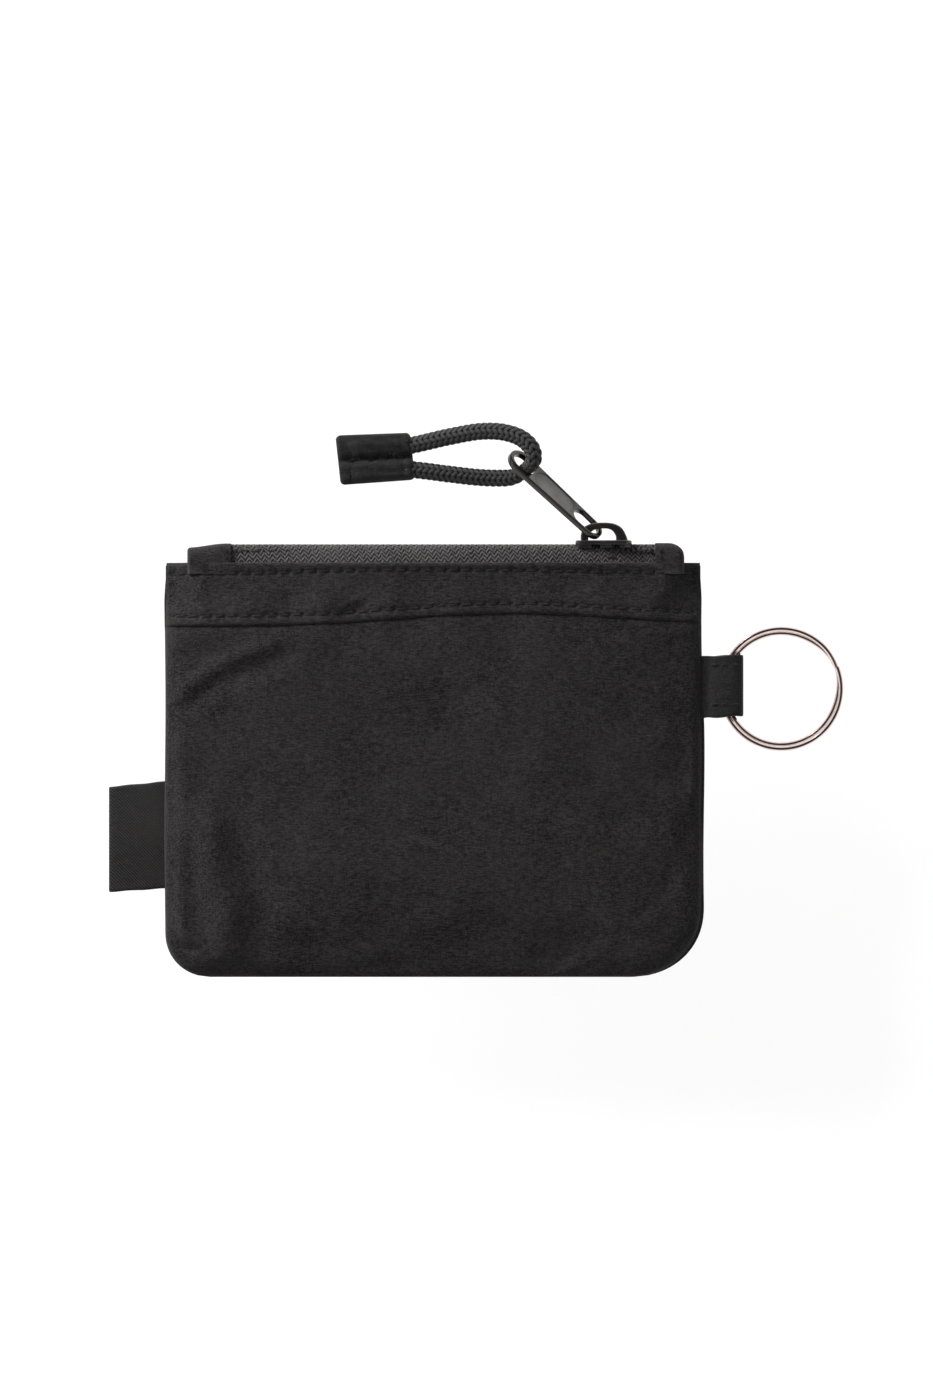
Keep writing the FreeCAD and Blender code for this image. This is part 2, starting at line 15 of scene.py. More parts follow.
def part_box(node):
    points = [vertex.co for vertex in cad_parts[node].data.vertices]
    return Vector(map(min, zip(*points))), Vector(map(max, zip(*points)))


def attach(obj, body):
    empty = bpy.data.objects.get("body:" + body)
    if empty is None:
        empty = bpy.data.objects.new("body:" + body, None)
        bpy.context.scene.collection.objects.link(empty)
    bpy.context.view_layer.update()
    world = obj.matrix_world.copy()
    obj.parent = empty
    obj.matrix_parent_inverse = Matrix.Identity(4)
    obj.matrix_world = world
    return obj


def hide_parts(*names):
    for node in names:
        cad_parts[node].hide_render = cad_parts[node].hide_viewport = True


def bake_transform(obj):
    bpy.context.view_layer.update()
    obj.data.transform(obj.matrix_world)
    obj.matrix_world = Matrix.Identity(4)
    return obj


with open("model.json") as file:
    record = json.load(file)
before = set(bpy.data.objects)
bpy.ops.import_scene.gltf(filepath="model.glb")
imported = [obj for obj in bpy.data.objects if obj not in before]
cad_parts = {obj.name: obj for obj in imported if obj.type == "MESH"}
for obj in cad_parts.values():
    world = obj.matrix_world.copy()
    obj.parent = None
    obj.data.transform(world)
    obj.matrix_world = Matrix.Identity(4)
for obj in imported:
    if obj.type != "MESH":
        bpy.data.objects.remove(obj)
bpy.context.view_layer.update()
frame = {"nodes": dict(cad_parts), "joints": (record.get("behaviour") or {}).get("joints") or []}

MM = 0.001


def box_mm(node):
    """A CAD node's lowest and highest corners in millimetres."""
    low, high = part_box(node)
    return np.array(low) / MM, np.array(high) / MM


def joint_mm(name):
    """Where a joint's axis runs, in millimetres."""
    joint = next(j for j in frame["joints"] if j["name"] == name)
    return np.array(joint["pos_m"]) / MM


BODY_LOW, BODY_HIGH = box_mm("back_panel")
BAND_LOW, BAND_HIGH = box_mm("front_band")
TAPE_TOP = box_mm("zipper_tape_front")[1][2]
SLIDER_LOW, SLIDER_HIGH = box_mm("slider_body")
CROWN_LOW, CROWN_HIGH = box_mm("slider_crown")
TAB_LEFT = box_mm("zipper_end_tab_left")
TAB_RIGHT = box_mm("zipper_end_tab_right")
COVER_LOW, COVER_HIGH = box_mm("cord_end_cover")
LOOP_LOW, LOOP_HIGH = box_mm("key_loop")
LABEL_LOW, LABEL_HIGH = box_mm("side_label")
RING_CENTRE = joint_mm("ring_spin")
PULL_PIVOT = joint_mm("pull_swing")

# body
HALF_WIDTH = BODY_HIGH[0]
BOTTOM = BODY_LOW[2]
TOP = BAND_HIGH[2]
HEIGHT = TOP - BOTTOM
ZIP_Y = (CROWN_LOW[1] + CROWN_HIGH[1]) / 2
SEAM_Y = -2.2
FRONT_RISE = 4.9
BACK_RISE = 1.75
LEFT_CORNER = 10.0
RIGHT_CORNER = 16.0
EDGE_ROUND = 5.5
CLOTH = 0.45
COLUMNS = 150
ROWS = 112
STITCH_PITCH = 2.9

# looks of the pull, matching the CAD's own lean and twist
PULL_LEAN = math.radians(137)
PULL_TWIST = math.radians(36)


# --- small maths

def smooth(t):
    """Smooth step of a value already scaled to 0..1."""
    t = np.clip(t, 0.0, 1.0)
    return t * t * (3 - 2 * t)


def quarter_round(t):
    """Rises from 0 to 1 like a quarter of a circle as t goes from 0 to 1."""
    return np.sqrt(1 - (1 - np.clip(t, 0, 1)) ** 2)


def unit(v):
    """Vectors at length 1, one or a row of them."""
    v = np.asarray(v, float)
    return v / np.linalg.norm(v, axis=-1, keepdims=True)


def tangents(path):
    """Unit directions along a polyline."""
    return unit(np.gradient(np.asarray(path, float), axis=0))


def spline(points, count):
    """A centripetal Catmull-Rom curve through points, evenly spaced along its length."""
    p = np.asarray(points, float)
    p = np.vstack([2 * p[0] - p[1], p, 2 * p[-1] - p[-2]])
    out = []
    for i in range(1, len(p) - 2):
        quad = p[i - 1:i + 3]
        t = np.concatenate([[0], np.cumsum(np.linalg.norm(np.diff(quad, axis=0), axis=1) ** 0.5)])
        for s in np.linspace(t[1], t[2], 24, endpoint=False):
            a = [quad[k] + (quad[k + 1] - quad[k]) * (s - t[k]) / (t[k + 1] - t[k]) for k in range(3)]
            b = [a[k] + (a[k + 1] - a[k]) * (s - t[k]) / (t[k + 2] - t[k]) for k in range(2)]
            out.append(b[0] + (b[1] - b[0]) * (s - t[1]) / (t[2] - t[1]))
    out.append(p[-2])
    return resample(np.array(out), count)


def resample(path, count):
    """The same polyline with evenly spaced points."""
    length = np.concatenate([[0], np.cumsum(np.linalg.norm(np.diff(path, axis=0), axis=1))])
    at = np.linspace(0, length[-1], count)
    return np.stack([np.interp(at, length, path[:, k]) for k in range(path.shape[1])], 1)


# --- meshes

def placed(name, mesh, material, sharp_deg=None):
    """An object for a finished mesh, shaded smooth up to a sharp angle."""
    mesh.polygons.foreach_set("use_smooth", np.ones(len(mesh.polygons), bool))
    if sharp_deg:
        mesh.set_sharp_from_angle(angle=math.radians(sharp_deg))
    mesh.materials.clear()
    mesh.materials.append(material)
    obj = bpy.data.objects.new(name, mesh)
    bpy.context.scene.collection.objects.link(obj)
    return obj


def piece(name, verts_mm, faces, material, sharp_deg=None):
    """A mesh object from millimetre points."""
    mesh = bpy.data.meshes.new(name)
    mesh.from_pydata((np.asarray(verts_mm) * MM).tolist(), [], [tuple(int(i) for i in f) for f in faces])
    mesh.validate()
    mesh.update()
    return placed(name, mesh, material, sharp_deg)


def at_x(x, y, z):
    """Points of a section across the zip, at one x."""
    return np.column_stack([np.full(len(y), x), y, z])


def grid_faces(rows, cols, base=0, wrap=False, flip=False):
    """Quads of points stored row by row."""
    faces = []
    for r in range(rows - 1):
        for c in range(cols if wrap else cols - 1):
            d = (c + 1) % cols
            low, high = base + r * cols, base + (r + 1) * cols
            quad = (low + c, low + d, high + d, high + c)
            faces.append(quad[::-1] if flip else quad)
    return faces


def skin(rings):
    """A closed skin over rings of points."""
    rings = np.asarray(rings)
    rows, cols = rings.shape[:2]
    ends = [tuple(range(cols))[::-1], tuple(range((rows - 1) * cols, rows * cols))]
    return rings.reshape(-1, 3), grid_faces(rows, cols, wrap=True) + ends


def merged(parts):
    """Several (points, faces) pairs as one."""
    verts, faces, base = [], [], 0
    for v, f in parts:
        verts.append(np.asarray(v))
        faces += [tuple(i + base for i in face) for face in f]
        base += len(v)
    return np.concatenate(verts), faces


def carried(path):
    """Two steady unit normals along a polyline."""
    tangent = tangents(path)
    n = np.cross(tangent[0], (0.0, 0.0, 1.0))
    if np.linalg.norm(n) < 0.1:
        n = np.cross(tangent[0], (0.0, 1.0, 0.0))
    normals = []
    for t in tangent:
        n = unit(n - t * (n @ t))
        normals.append(n)
    normals = np.array(normals)
    return normals, np.cross(tangent, normals)


def swept(path, section, a, b):
    """A closed skin over a flat section set out along directions a and b at each point of a path."""
    a = np.asarray(a)[..., None, :]
    b = np.asarray(b)[..., None, :]
    return skin(np.asarray(path)[:, None] + section[:, :1] * a + section[:, 1:] * b)


def bar(path, section):
    """A closed bar: a flat section carried along a polyline."""
    return swept(path, section, *carried(path))


def oval(a, b, count):
    """Outline of an ellipse with half axes a and b."""
    t = np.linspace(0, 2 * math.pi, count, endpoint=False)
    return np.stack([a * np.cos(t), b * np.sin(t)], 1)


def rounded_box(half_a, half_b, r, steps):
    """Outline of a rectangle with round corners."""
    out = []
    for quarter, (sa, sb) in enumerate(((1, 1), (-1, 1), (-1, -1), (1, -1))):
        for k in range(steps + 1):
            t = math.pi / 2 * (quarter + k / steps)
            out.append((sa * (half_a - r) + r * math.cos(t), sb * (half_b - r) + r * math.sin(t)))
    return np.array(out)


def sheet(outer, inner, swap=False):
    """A closed thin sheet between two grids of points of the same size."""
    if swap:
        outer, inner = inner, outer
    rows, cols = outer.shape[:2]
    count = rows * cols
    faces = grid_faces(rows, cols) + grid_faces(rows, cols, base=count, flip=True)
    rim = list(range(cols))
    rim += [r * cols + cols - 1 for r in range(1, rows)]
    rim += [(rows - 1) * cols + c for c in range(cols - 2, -1, -1)]
    rim += [r * cols for r in range(rows - 2, 0, -1)]
    faces += [(b, a, a + count, b + count) for a, b in zip(rim, rim[1:] + rim[:1])]
    return np.concatenate([outer.reshape(-1, 3), inner.reshape(-1, 3)]), faces


def capsule(start, end, radius, lift, sign):
    """One stitch: a short round bar that dips at both ends, on the side of the body that sign says."""
    t = np.linspace(0, 1, 7)
    line = np.outer(1 - t, start) + np.outer(t, end)
    line += np.outer(lift * np.sin(math.pi * t), (0, sign, 0))
    width = radius * np.sqrt(np.clip(1 - (2 * t - 1) ** 4, 0.04, 1))[:, None]
    n, b = carried(line)
    return swept(line, oval(1, 1, 7), n * width, b * width)


def flat_plate(name, outline, holes, thickness, bevel, material):
    """A plate with round edges from flat outlines (millimetres), on its own XY plane."""
    curve = bpy.data.curves.new(name + "_outline", "CURVE")
    curve.dimensions = "2D"
    curve.fill_mode = "BOTH"
    curve.extrude = (thickness / 2 - bevel) * MM
    curve.bevel_depth = bevel * MM
    curve.bevel_resolution = 2
    curve.offset = -bevel * MM
    for ring in [outline] + holes:
        points = curve.splines.new("POLY")
        points.points.add(len(ring) - 1)
        points.use_cyclic_u = True
        for point, (x, y) in zip(points.points, ring):
            point.co = (x * MM, y * MM, 0, 1)
    made = bpy.data.objects.new(name + "_outline", curve)
    bpy.context.scene.collection.objects.link(made)
    bpy.context.view_layer.update()
    mesh = bpy.data.meshes.new_from_object(made.evaluated_get(bpy.context.evaluated_depsgraph_get()))
    bpy.data.objects.remove(made)
    mesh.name = name
    obj = placed(name, mesh, material, 38)
    weld(mesh)
    return obj


def weld(mesh):
    """Joins points that coincide and turns every face outwards."""
    bm = bmesh.new()
    bm.from_mesh(mesh)
    bmesh.ops.remove_doubles(bm, verts=bm.verts, dist=0.002 * MM)
    bmesh.ops.recalc_face_normals(bm, faces=bm.faces)
    bm.to_mesh(mesh)
    bm.free()


def stadium(at, radii, count):
    """Outline round two circles on the X axis: centres at `at`, with their radii."""
    slope = math.asin((radii[1] - radii[0]) / (at[1] - at[0]))
    left = np.linspace(math.pi / 2 + slope, 3 * math.pi / 2 - slope, count)
    right = np.linspace(-math.pi / 2 - slope, math.pi / 2 + slope, count)
    out = [(at[0] + radii[0] * math.cos(t), radii[0] * math.sin(t)) for t in left]
    return out + [(at[1] + radii[1] * math.cos(t), radii[1] * math.sin(t)) for t in right]


# --- material nodes

# the grey of the wall and the floor
PALE = 0.90


def node(tree, kind, inputs=None, **settings):
    """A shader node; each input is a plain value or another node's output."""
    made = tree.nodes.new("ShaderNode" + kind)
    for key, value in settings.items():
        setattr(made, key, value)
    for key, value in (inputs or {}).items():
        if isinstance(value, bpy.types.NodeSocket):
            tree.links.new(value, made.inputs[key])
        else:
            made.inputs[key].default_value = value
    return made


def calc(operation, *values):
    """The result of a math node; the first value is another node's output."""
    return node(values[0].id_data, "Math", dict(enumerate(values)), operation=operation).outputs[0]


def scaled(value, factor, plus=0.0):
    """value * factor + plus."""
    return calc("MULTIPLY_ADD", value, factor, plus)


def noise(vector, size_mm, detail=3.0, rough=0.55, stretch=(1, 1, 1)):
    """Noise whose features are about size_mm across."""
    tree = vector.id_data
    place = node(tree, "VectorMath", {0: vector, 1: stretch}, operation="MULTIPLY").outputs[0]
    return node(tree, "TexNoise", {"Vector": place, "Scale": 1 / (size_mm * MM), "Detail": detail,
                                   "Roughness": rough}).outputs["Fac"]


def spread(value, low, high):
    """Scales a value so that low..high becomes 0..1, held at the ends."""
    inputs = {"Value": value, "From Min": low, "From Max": high}
    return node(value.id_data, "MapRange", inputs).outputs["Result"]


def blended(factor, a, b):
    """Colour a where the factor is 0, b where it is 1."""
    return node(factor.id_data, "Mix", {0: factor, 6: a, 7: b}, data_type="RGBA").outputs[2]


def grey(value, warm=0.0):
    """A linear colour near grey; warm above 0 leans to red."""
    return (value * (1 + warm), value, value, 1)


def worn_edge(tree, low, high):
    """1 where a surface bends outwards sharply."""
    return spread(node(tree, "NewGeometry").outputs["Pointiness"], low, high)


def facing(tree):
    """0 where a surface faces the viewer, 1 where it is seen edge-on."""
    return node(tree, "LayerWeight", {"Blend": 0.5}).outputs["Facing"]


def new_material(name):
    """An empty material, its node tree and the place on the object as a node's output."""
    material = bpy.data.materials.new(name)
    material.use_nodes = True
    tree = material.node_tree
    tree.nodes.clear()
    return material, tree, node(tree, "TexCoord").outputs["Object"]


def finished(material, colour, roughness, height, bump_mm, strength, **extra):
    """Gives a material its shader, with a bump from a height field."""
    tree = material.node_tree
    bump = node(tree, "Bump", {"Height": height, "Distance": bump_mm * MM, "Strength": strength})
    inputs = {"Base Color": colour, "Roughness": roughness, "Normal": bump.outputs[0]}
    inputs.update({key.replace("_", " "): value for key, value in extra.items()})
    node(tree, "OutputMaterial", {0: node(tree, "BsdfPrincipled", inputs).outputs[0]})
    return material


def weave_height(coords, pitch, pattern):
    """Height of the threads, 0..1, over a surface that mostly faces Y."""
    x, y, z = node(coords.id_data, "SeparateXYZ", {0: coords}).outputs
    u = scaled(y, 0.7, x)
    v = scaled(y, 0.6, z)
    k = 2 * math.pi / (pitch * MM)
    if pattern == "plain":
        over = scaled(calc("SINE", scaled(u, k)), calc("SINE", scaled(v, k)))
    elif pattern == "twill":
        over = calc("SINE", scaled(calc("ADD", u, v), k))
    else:
        zigzag = calc("PINGPONG", u, pitch * 0.75 * MM)
        over = calc("SINE", scaled(scaled(zigzag, 1.4, v), k))
        over = scaled(over, 1.4, -0.5)
    return scaled(over, 0.5, 0.5)


def fabric(name, dark, light, pitch, pattern="plain", grain=0.5, bump=0.05, roughness=0.78,
           fuzz=0.0, warm=0.04, gloss=0.12):
    """Woven cloth: threads, slubs along the weft, soft blotches, lint and rubbed edges."""
    material, tree, coords = new_material(name)
    threads = weave_height(coords, pitch, pattern)
    slub = noise(coords, 0.3, 1, 0.6, (0.22, 1, 1))
    cross = noise(coords, 0.5, 2, 0.5, (1, 1, 0.2))
    blotch = noise(coords, 14.0)
    fleck = noise(coords, 0.3, 1, 0.6)
    mix = scaled(threads, 1 - grain)
    mix = scaled(spread(slub, 0.41, 0.59), grain * 0.45, mix)
    mix = scaled(spread(cross, 0.38, 0.62), grain * 0.15, mix)
    mix = scaled(spread(fleck, 0.43, 0.57), grain * 0.4, mix)
    shade = blended(mix, grey(dark, warm), grey(light, warm))
    for amount, most, brighter in ((spread(blotch, 0.35, 0.7), 0.22, 1.15),
                                   (spread(fleck, 0.7, 0.8), 0.35 + fuzz, 3.0),
                                   (worn_edge(tree, 0.53, 0.62), 0.4, 1.8)):
        shade = blended(scaled(amount, most), shade, grey(light * brighter, warm))
    height = scaled(slub, 0.7, threads)
    height = scaled(fleck, 0.6 + fuzz * 2, height)
    rough = scaled(blotch, 0.12, roughness - 0.06)
    return finished(material, shade, rough, height, bump, 0.8, Sheen_Weight=0.06, Sheen_Roughness=0.45,
                    Specular_IOR_Level=gloss)


def enamel(name, base, roughness, satin=0.0):
    """Black enamelled zinc: glossy, rubbed a little at its edges, with fine scratches."""
    material, tree, coords = new_material(name)
    grain = noise(coords, 0.12, 2, 0.6, (1, 1, 0.25))
    cloud = noise(coords, 2.2)
    shade = blended(spread(cloud, 0.3, 0.7), grey(base * 0.85, 0.03), grey(base * 1.2, 0.03))
    shade = blended(scaled(worn_edge(tree, 0.56, 0.68), 0.25), shade, grey(0.16, 0.03))
    rough = scaled(grain, 0.16 + satin * 0.2, roughness - 0.08)
    return finished(material, shade, rough, grain, 0.006, 0.5, Metallic=0.25, Coat_Weight=0.5 * (1 - satin),
                    Coat_Roughness=0.08, Specular_IOR_Level=0.6)


def nickel():
    """Polished nickel wire with fine draw lines, and a painted dark warm reflection where it faces the
    viewer.
    """
    material, tree, coords = new_material("ring_nickel")
    cloud = noise(coords, 3.0, 4)
    fine = noise(coords, 0.1, 2, 0.6, (1, 0.2, 1))
    shade = blended(spread(cloud, 0.35, 0.7), (0.93, 0.86, 0.84, 1), (0.82, 0.74, 0.72, 1))
    # painted reflection: dark warm brown where the wire faces the viewer, standing in for dark surroundings
    # mirrored in it
    shade = blended(spread(facing(tree), 0.0, 0.05), (0.62, 0.5, 0.47, 1), shade)
    return finished(material, shade, scaled(fine, 0.14, 0.08), fine, 0.004, 0.6, Metallic=1.0)


def plastic(name, base):
    """Drawn nylon: a soft gloss over faint streaks."""
    material, _, coords = new_material(name)
    cloud = noise(coords, 0.8)
    shade = blended(spread(cloud, 0.3, 0.7), grey(base * 0.75), grey(base * 1.3))
    return finished(material, shade, scaled(cloud, 0.2, 0.25), cloud, 0.01, 0.5, Specular_IOR_Level=0.5)


def steel():
    """Bare spring steel with fine rolling lines."""
    material, _, coords = new_material("spring_steel")
    fine = noise(coords, 0.15, 3, 0.6, (1, 1, 0.2))
    shade = blended(fine, (0.3, 0.29, 0.28, 1), (0.55, 0.54, 0.52, 1))
    return finished(material, shade, scaled(fine, 0.2, 0.2), fine, 0.005, 0.6, Metallic=1.0)


def braid():
    """Braided polyester: painted shade between the strands and on their sides, and a painted highlight of
    fibres on their crests.
    """
    material, tree, coords = new_material("cord")
    fibre = noise(coords, 0.16, 2, 0.6)
    cloud = noise(coords, 1.6, 2)
    # crest is a painted-light mask: near black between and beside the strands, lighter on the crests that
    # pass over the others
    crest = node(tree, "Attribute", attribute_name="crest").outputs["Fac"]
    mix = scaled(crest, scaled(spread(fibre, 0.35, 0.7), 0.4, 0.6))
    shade = blended(mix, grey(0.0006), grey(0.046))
    shade = blended(scaled(spread(cloud, 0.5, 0.8), 0.2), shade, grey(0.02))
    return finished(material, shade, 0.6, fibre, 0.03, 0.8, Sheen_Weight=0.04, Specular_IOR_Level=0.2)


def fading(name):
    """Pale stage that only the camera sees, and only from its front and not edge-on."""
    material, tree, coords = new_material(name)
    front = scaled(node(tree, "NewGeometry").outputs["Backfacing"], -1, 1)
    shown = scaled(front, node(tree, "LightPath").outputs["Is Camera Ray"])
    shown = scaled(shown, spread(facing(tree), 0.93, 0.80))
    shade = blended(noise(coords, 60.0, 2), grey(PALE * 0.985), grey(PALE))
    lit = node(tree, "BsdfDiffuse", {"Color": grey(PALE * 0.22)}).outputs[0]
    glow = node(tree, "Emission", {"Color": shade, "Strength": 0.95}).outputs[0]
    pale = node(tree, "AddShader", {0: lit, 1: glow}).outputs[0]
    clear = node(tree, "BsdfTransparent").outputs[0]
    node(tree, "OutputMaterial", {0: node(tree, "MixShader", {0: shown, 1: clear, 2: pale}).outputs[0]})
    return material


BODY_CLOTH = fabric("body_fabric", 0.0004, 0.0265, 0.42, grain=0.90, bump=0.09, gloss=0.08, warm=0.05)
LINING_CLOTH = fabric("lining_fabric", 0.010, 0.017, 0.22, grain=0.3, bump=0.012, roughness=0.5, gloss=0.3)
TAPE_CLOTH = fabric("zipper_tape", 0.0020, 0.078, 1.15, "chevron", grain=0.45, bump=0.14, fuzz=0.3)
COVER_CLOTH = fabric("cover_fabric", 0.003, 0.018, 0.30, grain=0.7, bump=0.03, roughness=0.6)
STRAP_CLOTH = fabric("strap_fabric", 0.002, 0.020, 0.40, grain=0.7, bump=0.05, roughness=0.65)
LABEL_CLOTH = fabric("label_tape", 0.002, 0.026, 0.75, "twill", grain=0.25, bump=0.06, roughness=0.7)
# the thread is darker than the cloth it is sewn into: painted shade of the stitch holes and grooves
THREAD_PAINTED_SHADE = fabric("thread", 0.0006, 0.010, 0.45, "twill", grain=0.4, bump=0.03, roughness=0.55, gloss=0.2)
COIL_NYLON = plastic("zipper_coil", 0.020)
BLACK_METAL = enamel("slider_metal", 0.012, 0.22)
PULL_BLACK = enamel("pull_metal", 0.006, 0.16)
PULL_SATIN = enamel("pull_satin", 0.130, 0.45, satin=1.0)
NICKEL = nickel()
STEEL = steel()
CORD = braid()


# --- the body's skin

def outline_x(z):
    """Left and right edge of the body at a height, with its two round bottom corners."""
    z = np.asarray(z, float)

    def inset(radius):
        t = np.clip((BOTTOM + radius - z) / radius, 0, 1)
        return radius * (1 - np.sqrt(1 - t ** 2.2))

    lean = 0.5 * smooth((TOP - 12 - z) / 30)
    shoulder = 0.5 * smooth((z - TOP + 9) / 9)
    left = -HALF_WIDTH + inset(LEFT_CORNER) + 0.15 * np.sin(z * 0.11) + shoulder
    right = HALF_WIDTH - shoulder + lean - inset(RIGHT_CORNER) + 0.12 * np.sin(z * 0.13 + 1)
    return left, right


def edge_distance(x, z):
    """Distance inwards from the seams at the sides and the bottom."""
    centre = (RIGHT_CORNER - LEFT_CORNER) / 4
    low = BOTTOM - 0.2
    radius = np.where(x < centre, LEFT_CORNER, RIGHT_CORNER)
    dx = np.abs(x) - (HALF_WIDTH - radius)
    dz = (low + radius) - z
    outside = np.hypot(np.maximum(dx, 0), np.maximum(dz, 0))
    return radius - outside - np.minimum(np.maximum(dx, dz), 0)


def fullness(x, z):
    """How far the cloth stands from the seam plane, 0 at the seams and 1 in the middle."""
    d = np.clip(edge_distance(x, z), 0, None)
    pinched = smooth((np.abs(x) - 51) / 8) * smooth((z - TOP + 16) / 13)
    return (0.74 * quarter_round(d / EDGE_ROUND) + 0.26 * smooth(d / 38)) * (1 - 0.8 * pinched)


def side_sign(front):
    """Which way a face looks along Y."""
    return -1.0 if front else 1.0


class Fold:
    """A ridge (height above 0) or a crease of the cloth along a curved line, fading at both ends."""

    def __init__(self, points, width, height):
        line = spline(points, 24)
        self.tall = abs(line[-1, 1] - line[0, 1]) > abs(line[-1, 0] - line[0, 0])
        self.key, self.value = line.T[::-1] if self.tall else line.T
        if self.key[0] > self.key[-1]:
            self.key, self.value = self.key[::-1], self.value[::-1]
        self.slope = np.gradient(self.value, self.key)
        self.width, self.height = width, height

    def at(self, x, z):
        """Its height at points of the face."""
        along, across = (z, x) if self.tall else (x, z)
        t = (along - self.key[0]) / (self.key[-1] - self.key[0])
        fade = smooth((t + 0.15) / 0.4) * smooth((1.15 - t) / 0.4)
        lean = np.interp(along, self.key, self.slope)
        off = (across - np.interp(along, self.key, self.value)) / np.sqrt(1 + lean ** 2)
        return self.height * np.exp(-(off / self.width) ** 2) * fade


# folds of the front: a line of (x, z) points, then width and height in millimetres
FOLDS = [Fold(*f) for f in [
    ([(-58.2, 15.6), (-51, 21.2), (-43.2, 25.2), (-33, 29.2)], 2.1, 0.75),
    ([(-57.4, 12.6), (-49.6, 18.4), (-41.6, 22.2), (-31, 26)], 2.3, -0.62),
    ([(-20.5, 36.8), (-17.5, 37.8), (-14.2, 38.6)], 1.2, 0.26),
    ([(-20.5, 34.8), (-17.5, 35.8), (-14.2, 36.6)], 1.1, -0.34),
    ([(-51, -8), (-49, -19), (-46.2, -29), (-47.4, -43.5)], 4, 1.25),
    ([(-44.5, -8), (-42.4, -19), (-38.8, -29), (-39.6, -43.5)], 4.2, -1.05),
    ([(-54.2, -14), (-53.6, -26), (-52.8, -38)], 2.4, -0.45),
    ([(-56.2, 12.4), (-55.9, -12), (-56.2, -36.9)], 1.7, 0.28),
    ([(-58.4, 10), (-58.3, -12), (-58.4, -34)], 1, -0.35),
    ([(-58.2, -36.2), (-55.6, -39.6), (-52.6, -40.4)], 0.9, -0.85),
    ([(-56.8, -34.4), (-54.2, -37.4), (-51.2, -38.4)], 1, 0.60),
    ([(-49, -39.5), (-40, -42.6), (-30, -43.7)], 1.7, 0.40),
    ([(53.3, 29.5), (57.3, 28.6)], 0.7, -0.60),
    ([(55.2, 22), (55.9, 0), (56, -20)], 2.2, -0.42),
    ([(57.4, 12), (57.6, -16)], 1.3, 0.22),
    ([(37.2, -10.1), (42.8, -14.5)], 2.2, -0.35),
    ([(46, -32), (50, -29.4), (54.5, -24)], 1.8, -0.40),
    ([(44.5, -35.5), (48, -33.4), (52, -29)], 1.8, 0.35),
    ([(10, -42.5), (34, -41.8)], 1.8, -0.35),
    ([(-18, -43.6), (4, -42.9)], 1.4, -0.32),
    ([(-32, 10), (-22, 5), (-10, -2)], 6, -0.50),
    ([(5, 14), (18, 10), (30, 4)], 7, 0.45),
    ([(20, -22), (30, -27), (38, -34)], 6, -0.40),
    ([(-30, -16), (-20, -24), (-12, -34)], 6, 0.50),
]]

# folds of the back, where the cloth lies flatter
BACK_FOLDS = [Fold(*f) for f in [
    ([(-52, 20), (-40, 25), (-30, 27)], 3, -0.22),
    ([(-46, -22), (-42, -40)], 3, -0.26),
    ([(48, -30), (55, -18)], 2.2, -0.22),
    ([(10, -6), (34, -16)], 6, 0.20),
    ([(-20, 8), (-8, 0), (2, -12)], 7, -0.20),
]]


def unit_grid(rows, cols):
    """Points over one face: x and z arrays, closer together near the seams."""
    u = np.linspace(0, 1, cols)
    u = 0.55 * u + 0.45 * (0.5 - 0.5 * np.cos(math.pi * u))
    v = np.linspace(0, 1, rows)
    v = np.where(v < 0.25, v * v * 4 * 0.62 + v * 0.38, v)
    v = (v - v[0]) / (v[-1] - v[0])
    z = BOTTOM + HEIGHT * v
    left, right = outline_x(z)
    x = left[:, None] + (right - left)[:, None] * u[None, :]
    return x, np.repeat(z[:, None], cols, axis=1)


# the simulated bag: rows and columns of a face, how much larger than life it is, and its frames
PUFF_GRID = (64, 84)
PUFF_SCALE = 10.0
PUFF_STEPS = 22
PUFF_SETTINGS = {
    "quality": 5, "mass": 0.3, "vertex_group_mass": "pins", "shrink_min": -0.005, "use_pressure": True,
    "uniform_pressure_force": 0.6, "bending_stiffness": 20.0, "tension_stiffness": 20,
    "compression_stiffness": 14, "tension_damping": 12, "compression_damping": 12, "bending_damping": 2,
    "air_damping": 6,
}


def rest_depth(x, z, front):
    """Depth of the cloth before it is puffed: seam plane at the edges, full in the middle."""
    return SEAM_Y + (-FRONT_RISE if front else BACK_RISE) * fullness(x, z)


def puffed():
    """Cloth simulation of both faces as one bag, pinned at its seams and mouth; returns depth changes."""
    rows, cols = PUFF_GRID
    x, z = unit_grid(rows, cols)
    faces, points = [], []
    for front in (True, False):
        grid = np.stack([x, rest_depth(x, z, front), z], -1)
        points.append(grid.reshape(-1, 3) * MM * PUFF_SCALE)
        faces += grid_faces(rows, cols, base=0 if front else rows * cols, flip=not front)
    points = np.concatenate(points)
    mesh = bpy.data.meshes.new("puff")
    mesh.from_pydata(points.tolist(), [], faces)
    bag = bpy.data.objects.new("puff", mesh)
    bpy.context.scene.collection.objects.link(bag)
    pins = bag.vertex_groups.new(name="pins")
    row, col = np.divmod(np.arange(rows * cols), cols)
    held = (row == 0) | (row >= rows - 3) | (col == 0) | (col == cols - 1)
    pins.add([int(i) for i in np.flatnonzero(np.concatenate([held, held]))], 1.0, "REPLACE")
    cloth = bag.modifiers.new("cloth", "CLOTH")
    for key, value in PUFF_SETTINGS.items():
        setattr(cloth.settings, key, value)
    cloth.settings.effector_weights.gravity = 0
    cloth.collision_settings.use_collision = False
    cloth.point_cache.frame_end = PUFF_STEPS
    for step in range(1, PUFF_STEPS + 1):
        bpy.context.scene.frame_set(step)
    solved = bag.evaluated_get(bpy.context.evaluated_depsgraph_get())
    moved = np.empty(points.size)
    solved.data.vertices.foreach_get("co", moved)
    change = (moved.reshape(-1, 3) - points)[:, 1] / (MM * PUFF_SCALE)
    bpy.data.objects.remove(bag)
    bpy.context.scene.frame_set(1)
    return change.reshape(2, rows, cols)


